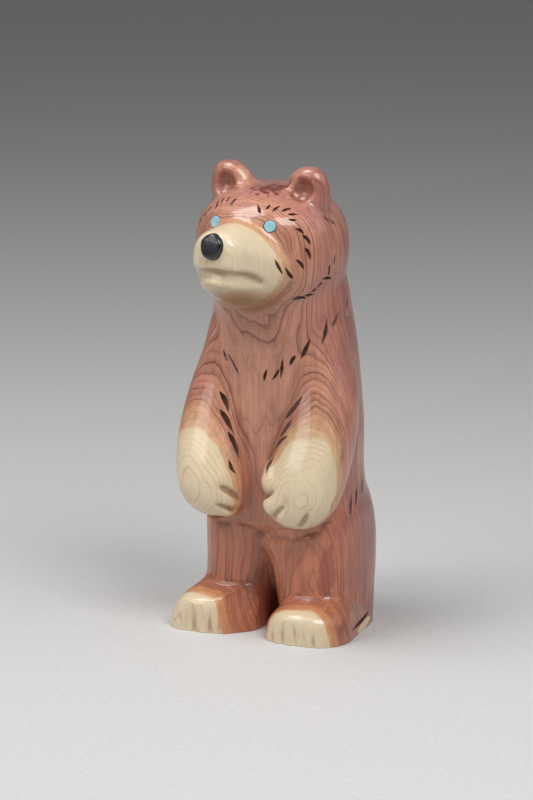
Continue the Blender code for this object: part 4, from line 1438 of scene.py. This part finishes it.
@dataclass
class Carving:
    """The bear's body: forms fused into one skin, hollows and grooves, and the crisp cuts of the gouge."""

    voxel: float = 0.00065
    soft_passes: int = 38
    edge_passes: int = 3
    gouge_seed: int = 7
    # Corners that a cut leaves closer than this, in metres, are merged before the next cut
    same_corner: float = 0.000005
    ball_rounds: int = 24
    ear_scoop_middle: Triple = (14.0, -17.8, 143.2)
    ear_scoop_radii: Triple = (4.3, 3.1, 4.2)
    ear_scoop_lean: float = math.radians(8.0)
    ear_scoop_rounds: int = 32
    mouth_middle: tuple[float, float] = (-1.3, -31.0)
    mouth_front: float = 122.5
    mouth_corner: float = 117.5
    mouth_droop: float = 2.6
    mouth_spread: float = math.radians(61.0)
    mouth_depth: float = 2.3
    mouth_tall: float = 4.3
    # Shares by which the channel is taller halfway, and lower and shallower at its corners
    mouth_swell: float = 0.35
    mouth_pinch: float = 0.55
    mouth_fade: float = 0.75
    mouth_profile: Sequence[tuple[float, float]] = (
        (-1.2, -0.25), (0.0, 0.0), (0.75, 0.05), (1.0, 0.17), (0.98, 0.32),
        (0.82, 0.52), (0.52, 0.75), (0.0, 1.0), (-1.2, 1.0),
    )
    mouth_stations: int = 40
    toe_groove_ends: tuple[float, float] = (-7.0, 9.0)
    toe_groove_meets: float = 4.0
    # Place across, width and depth
    toe_grooves: Sequence[Triple] = (
        (-23.0, 1.7, 0.6), (-20.0, 2.8, 0.8), (-14.6, 2.8, 0.8), (-11.8, 1.7, 0.6),
        (7.4, 2.0, 0.6), (11.3, 2.6, 0.7), (15.6, 2.4, 0.7), (18.8, 2.0, 0.6), (22.0, 2.0, 0.6),
    )
    facet_start: Triple = (-9.0, -29.9, 0.0)
    facet_facing: Triple = (0.70, -0.675, 0.22)
    facet_low: Triple = (-8.0, -4.0, 0.0)
    facet_high: Triple = (13.5, 15.0, 2.3)

    def skin(self) -> Piece:
        """The forms and the claws in one smooth skin.

        Returns:
            The skin.
        """
        forms = (
            TORSO, WEB_BEHIND_LEGS, LEFT_LEG, RIGHT_LEG, LEFT_ARM, RIGHT_ARM, LEFT_FOOT, RIGHT_FOOT,
            RIGHT_FOOT_INSIDE, HEAD, MUZZLE, EAR, EAR.mirrored("ear_right"),
        )
        body = joined("carved_body", [form.build() for form in forms])
        body = joined("carved_body", [body, *self.claw_lumps(surface_of(body))])
        fuse(body, self.voxel, self.soft_passes)
        return body

    def claw_lumps(self, surface: BVHTree) -> list[Piece]:
        """The claws that stand out from the paws' inner edges.

        Args:
            surface: the forms' surface.
        Returns:
            The claws.
        """
        lumps = []
        for x, y, radius, behind in CLAW_LUMPS:
            spot = PHOTO.meet(surface, x, y)[0]
            middle = Matrix.Translation(spot - PHOTO.axes()[2] * behind * UNIT)
            lumps.append(ball("claw_lump", middle, (radius * UNIT,) * 3, self.ball_rounds))
        return lumps

    def ear_scoops(self) -> list[Piece]:
        """The waste of the hollows in the ears' fronts.

        Returns:
            The scoops, right and left.
        """
        scoops = []
        for side in (-1.0, 1.0):
            across, along, height = self.ear_scoop_middle
            middle = Matrix.Translation(at(HEAD_X + side * across, along, height))
            lean = Matrix.Rotation(side * self.ear_scoop_lean, 4, "Y")
            radii = [radius * UNIT for radius in self.ear_scoop_radii]
            scoops.append(ball("ear_scoop", HEAD_FRAME @ middle @ lean, radii, self.ear_scoop_rounds))
        return scoops

    def mouth(self, surface: BVHTree) -> Piece:
        """The mouth's channel, which follows the muzzle round from one mouth corner to the other.

        Args:
            surface: the body's surface.
        Returns:
            The channel's waste.
        """
        total = len(self.mouth_profile)
        steps = range(self.mouth_stations + 1)
        channel = tower("mouth", total, len(steps))
        stations = [self.mouth_section(surface, 2.0 * step / self.mouth_stations - 1.0) for step in steps]
        for vertex in channel.data.vertices:
            corner = round(math.atan2(vertex.co.y, vertex.co.x) / (math.tau / total)) % total
            vertex.co = stations[round(vertex.co.z)][corner]
        face_outwards(channel)
        return channel

    def mouth_section(self, surface: BVHTree, t: float) -> list[Vector]:
        """One section of the mouth's channel.

        Args:
            surface: the body's surface.
            t: the section's place on the way round, from -1 to 1.
        Returns:
            The section's corners.
        """
        turn = t * self.mouth_spread
        height = self.mouth_front + (self.mouth_corner - self.mouth_front) * abs(t) ** self.mouth_droop
        outwards = HEAD_FRAME.to_3x3() @ Vector((math.sin(turn), -math.cos(turn), 0.0))
        swell = 1.0 + self.mouth_swell * math.sin(math.pi * abs(t))
        tall = self.mouth_tall * swell * (1.0 - self.mouth_pinch * abs(t) ** 4)
        deep = self.mouth_depth * (1.0 - self.mouth_fade * abs(t) ** 3)
        corners = []
        for inwards, down in self.mouth_profile:
            middle = HEAD_FRAME @ at(*self.mouth_middle, height - tall * max(down, 0.0))
            lip = surface.ray_cast(middle + outwards * FAR * UNIT, -outwards)[0]
            drop = Vector((0.0, 0.0, -min(down, 0.0) * tall * UNIT))
            reach = deep * inwards if inwards > 0.0 else self.mouth_depth * inwards
            corners.append(lip - outwards * reach * UNIT + drop)
        return corners

    def flute(self, bottom: Vector, top: Vector, outward: Vector, width: float, depth: float) -> Piece:
        """A long rounded cutter.

        Args:
            bottom: where its middle line starts.
            top: where its middle line ends.
            outward: the way out of the wood.
            width: its width in metres.
            depth: how deep it cuts, in metres.
        Returns:
            The cutter.
        """
        along = top - bottom
        across = along.cross(outward).normalized()
        turn = Matrix((across, along.normalized(), across.cross(along).normalized())).transposed().to_4x4()
        own_frame = Matrix.Translation((bottom + top) / 2) @ turn
        return ball("flute", own_frame, (width / 2, along.length / 2, depth), self.ball_rounds)

    def toe_flutes(self, surface: BVHTree) -> list[Piece]:
        """The upright flutes between the toes.

        Args:
            surface: the body's surface.
        Returns:
            Their cutters.
        """
        flutes = []
        low, high = self.toe_groove_ends
        inwards = Vector((0.0, 1.0, 0.0))
        for x, width, depth in self.toe_grooves:
            front, outward, _, _ = surface.ray_cast(at(x, -FAR, self.toe_groove_meets), inwards)
            bottom = Vector((front.x, front.y, low * UNIT))
            top = Vector((front.x, front.y, high * UNIT))
            level = Vector((outward.x, outward.y, 0.0)).normalized()
            flutes.append(self.flute(bottom, top, level, width * UNIT, depth * UNIT))
        return flutes

    def facet_waste(self) -> Piece:
        """The waste beside the flat facet on the right foot's inner corner.

        Returns:
            The waste.
        """
        outward = Vector(self.facet_facing).normalized()
        level = Vector((0.0, 0.0, 1.0)).cross(outward).normalized()
        axes = Matrix((level, outward.cross(level), outward)).transposed().to_4x4()
        own_frame = Matrix.Translation(at(*self.facet_start)) @ axes
        return block("facet_waste", own_frame, self.facet_low, self.facet_high)

    def carve(self) -> Piece:
        """The body with its soft-edged hollows.

        Returns:
            The body.
        """
        body = self.skin()
        surface = surface_of(body)
        cut(body, self.mouth(surface))
        cut(body, joined("ear_scoops", self.ear_scoops()))
        cut(body, joined("flutes", self.toe_flutes(surface)))
        self.gouge(body, surface, SOFT_GROOVES, False)
        fuse(body, self.voxel, self.edge_passes)
        return body

    def darken(self, cutter: Piece, body: Piece) -> Piece:
        """Gives a cutter the body's materials, its faces the second, which is the cuts' own.

        Args:
            cutter: the cutter.
            body: the piece that it will cut.
        Returns:
            The cutter.
        """
        cutter.data.materials.clear()
        for material in body.data.materials:
            cutter.data.materials.append(material)
        for face in cutter.data.polygons:
            face.material_index = 1
        return cutter

    def gouge(self, body: Piece, surface: BVHTree, nicks: Sequence[Nick], dark: bool) -> None:
        """Makes the gouge's cuts.

        Args:
            body: the piece that is cut.
            surface: its surface before the first cut.
            nicks: the cuts as the photograph shows them.
            dark: whether the cuts have their own dark finish.
        """
        chance = random.Random(self.gouge_seed)
        for own in apart([spot for nick in nicks for spot in nick.cuts(surface)]):
            gouges = GougeSet("gouges", chance)
            for spot in own:
                gouges.add(spot)
            cutter = gouges.finish()
            cut(body, self.darken(cutter, body) if dark else cutter)
            if dark:
                merge_near(body, self.same_corner)
            LOG.info("gouge: %d cuts, the body has %d faces", len(own), len(body.data.polygons))

    def build(self) -> Piece:
        """The whole body with its materials.

        Returns:
            The body.
        """
        body = self.carve()
        surface = surface_of(body)
        figure = JuniperFigure().build(surface)
        body.data.materials.clear()
        for finish in (LACQUERED_WOOD, CUT_WOOD):
            body.data.materials.append(finish.build(figure))
        cut(body, self.facet_waste())
        self.gouge(body, surface, NICKS, True)
        cut(body, block("sole_waste", Matrix.Translation(LAYOUT_SHIFT), (-FAR, -FAR, -FAR), (FAR, FAR, 0.0)))
        return body


@dataclass(frozen=True)
class Stone:
    """An inlaid stone, its outline slightly uneven, and its pocket in the wood. Sizes are in units."""

    name: str
    node: str
    finish: Clouded
    across: float
    level: float
    turn: float
    lift: float
    width: float
    height: float
    seat: float
    proud: float
    rim: float = 0.2
    gap: float = 0.18
    points: int = 60
    uneven: float = 0.018
    # The rounded rim's steps and its share of the rise, then the crown's rings
    rim_steps: int = 6
    rim_rise: float = 0.82
    crown_shares: Sequence[float] = (0.7, 0.45, 0.2)

    def place(self, surface: BVHTree) -> Matrix:
        """The stone's frame, its Z outwards.

        Args:
            surface: the body's surface.
        Returns:
            The frame.
        """
        start = HEAD_FRAME @ at(self.across, -FAR, self.level)
        spot = surface.ray_cast(start, HEAD_FRAME.to_3x3() @ Vector((0.0, 1.0, 0.0)))[0]
        facing = Matrix.Rotation(self.turn, 4, "Z") @ Matrix.Rotation(math.pi / 2 - self.lift, 4, "X")
        return Matrix.Translation(spot) @ Matrix.Rotation(-HEAD_TURN, 4, "Z") @ facing

    def turned(self, name: str, own_frame: Matrix, rings: Sequence[tuple[float, float]]) -> Piece:
        """A closed form of the stone's outline.

        Args:
            name: the form's name.
            own_frame: its frame.
            rings: each ring's distance in from the outline, and its height.
        Returns:
            The form.
        """
        piece = tower(name, self.points, len(rings))
        for vertex in piece.data.vertices:
            inset, height = rings[round(vertex.co.z)]
            turn = math.atan2(vertex.co.y, vertex.co.x)
            wave = 1.0 + self.uneven * (math.cos(5 * turn + self.across) + 0.6 * math.cos(3 * turn - 1.0))
            u = (self.width / 2 * wave - inset) * math.cos(turn)
            v = (self.height / 2 * wave - inset) * math.sin(turn)
            vertex.co = own_frame @ (Vector((u, v, height)) * UNIT)
        face_outwards(piece)
        return piece

    def pocket(self, own_frame: Matrix) -> Piece:
        """The waste of the stone's pocket."""
        rings = ((-self.gap, -self.seat - self.gap), (-self.gap, self.seat))
        return self.turned(f"{self.name}_pocket", own_frame, rings)

    def build(self, own_frame: Matrix) -> Piece:
        """The stone: a seat, a rounded rim and a low crown.

        Args:
            own_frame: the stone's frame.
        Returns:
            The stone.
        """
        rings = [(0.0, -self.seat), (0.0, min(self.proud - self.rim, 0.0))]
        for step in range(1, self.rim_steps + 1):
            turn = math.pi / 2 * step / self.rim_steps
            rings.append((self.rim * (1 - math.cos(turn)), self.proud * math.sin(turn) * self.rim_rise))
        half = min(self.width, self.height) / 2
        for share in self.crown_shares:
            rise = self.rim_rise + (1.0 - self.rim_rise) * (1 - share**2)
            rings.append((half * (1 - share), self.proud * rise))
        return self.turned(self.name, own_frame, rings)


@dataclass(frozen=True)
class Inlays:
    """The eyes and the nose: where they sit on the head, and their sizes."""

    eye_middle: float = -1.0
    eye_aside: float = 9.5
    eye_level: float = 133.5
    eye_turn: float = math.radians(17.0)
    eye_lift: float = math.radians(20.0)
    eye_size: float = 3.7
    eye_seat: float = 1.6
    eye_proud: float = 0.2
    nose_across: float = -1.2
    nose_level: float = 129.3
    nose_lift: float = math.radians(12.0)
    nose_size: tuple[float, float] = (7.4, 8.0)
    nose_seat: float = 3.0
    nose_proud: float = 1.5
    nose_rim: float = 1.0

    def eye(self, node: str, side: float) -> Stone:
        """One eye.

        Args:
            node: the CAD node that it stands for.
            side: 1 for the bear's left and -1 for its right.
        Returns:
            The eye.
        """
        place = (self.eye_middle + side * self.eye_aside, self.eye_level, side * self.eye_turn, self.eye_lift)
        sizes = (self.eye_size, self.eye_size, self.eye_seat, self.eye_proud)
        return Stone(f"{node}_stone", node, TURQUOISE, *place, *sizes)

    def stones(self) -> tuple[Stone, Stone, Stone]:
        """All the stones.

        Returns:
            The left eye, the right eye and the nose.
        """
        place = (self.nose_across, self.nose_level, 0.0, self.nose_lift)
        sizes = (*self.nose_size, self.nose_seat, self.nose_proud, self.nose_rim)
        nose = Stone("nose_stone", "nose", JET, *place, *sizes)
        return self.eye("eye_left", 1.0), self.eye("eye_right", -1.0), nose


@dataclass(frozen=True)
class Lamp:
    """One square soft light: its place and size in metres, its power in watts and its tint."""

    name: str
    place: Triple
    size: float
    power: float
    tint: Triple = (1.0, 0.99, 1.0)

    def build(self, faces: Triple) -> None:
        """The light in its place.

        Args:
            faces: the point that it faces.
        """
        clear_selection()
        bpy.ops.object.light_add(type="AREA", location=self.place)
        lamp = named(self.name)
        lamp.data.size = self.size
        lamp.data.energy = self.power
        lamp.data.color = self.tint
        lamp.rotation_euler = (Vector(faces) - Vector(self.place)).to_track_quat("-Z", "Y").to_euler()


@dataclass(frozen=True)
class Studio:
    """A pale floor, soft lights and the camera at the photograph's viewing angle."""

    view: PhotoView = PHOTO
    sensor: float = 36.0
    near: float = 0.01
    far: float = 20.0
    floor_size: float = 6.0
    floor_below: float = 0.0001
    lit_point: Triple = (0.0, 0.0, 0.075)
    lamps: Sequence[Lamp] = (
        Lamp("overhead_right", (0.40, -0.26, 0.64), 0.36, 3.4),
        Lamp("overhead_left", (-0.22, -0.16, 0.74), 0.36, 3.2),
        Lamp("front", (-0.42, -0.72, 0.60), 0.5, 2.5, (1.0, 0.98, 0.98)),
        Lamp("far_right", (0.62, 0.26, 0.52), 0.5, 0.6, (0.97, 0.96, 1.0)),
    )
    world_tint: Triple = (0.80, 0.81, 0.82)
    world_strength: float = 0.19

    def camera(self) -> None:
        """The camera, so that the figure falls where the photograph shows it."""
        clear_selection()
        bpy.ops.object.camera_add(location=self.view.eye())
        camera = named("photo_camera")
        camera.rotation_euler = (-self.view.axes()[2]).to_track_quat("-Z", "Y").to_euler()
        camera.data.sensor_fit = "VERTICAL"
        camera.data.sensor_height = self.sensor
        camera.data.sensor_width = self.sensor
        shown = self.view.image[1] / self.view.pixels_per_metre
        camera.data.lens = self.sensor * self.view.distance / shown
        camera.data.clip_start = self.near
        camera.data.clip_end = self.far
        bpy.context.scene.camera = camera

    def build(self) -> None:
        """Floor, lights, world and camera."""
        clear_selection()
        bpy.ops.mesh.primitive_plane_add(size=self.floor_size, location=(0.0, 0.0, -self.floor_below))
        floor = named("studio_floor")
        floor.data.materials.append(PALE_FLOOR.build())
        for lamp in self.lamps:
            lamp.build(self.lit_point)
        world = bpy.data.worlds.new("studio")
        world.use_nodes = True
        background = world.node_tree.nodes["Background"]
        background.inputs["Color"].default_value = (*self.world_tint, 1.0)
        background.inputs["Strength"].default_value = self.world_strength
        bpy.context.scene.world = world
        bpy.context.scene.view_settings.view_transform = "Standard"
        self.camera()


def keep(piece: Piece, node: str, slot: str) -> None:
    """Puts a finished piece on the body in place of its CAD node and reports it.

    Args:
        piece: the piece.
        node: the CAD node.
        slot: the name of its material slot, not used.
    """
    sharp_edge = math.radians(38.0)
    pick(piece)
    bpy.ops.object.shade_smooth_by_angle(angle=sharp_edge)
    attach(piece, BODY)
    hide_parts(node)
    triangles = sum(len(face.vertices) - 2 for face in piece.data.polygons)
    LOG.info("%s: %d triangles, stands for %s", piece.name, triangles, node)


def main() -> None:
    """Builds the bear, its stones and the studio."""
    logging.basicConfig(level=logging.INFO, format="%(message)s")
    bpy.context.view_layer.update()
    carving = Carving()
    body = carving.build()
    surface = surface_of(body)
    stones = Inlays().stones()
    places = [stone.place(surface) for stone in stones]
    pockets = joined("pockets", [stone.pocket(spot) for stone, spot in zip(stones, places)])
    cut(body, carving.darken(pockets, body))
    mark_hollows(body, HOLLOW)
    keep(body, "bear_body", "cedar")
    looks = {finish: finish.build() for finish in (TURQUOISE, JET)}
    for stone, spot in zip(stones, places):
        piece = stone.build(spot)
        piece.data.materials.append(looks[stone.finish])
        keep(piece, stone.node, stone.finish.name)
    Studio().build()


if __name__ == "__main__":
    main()
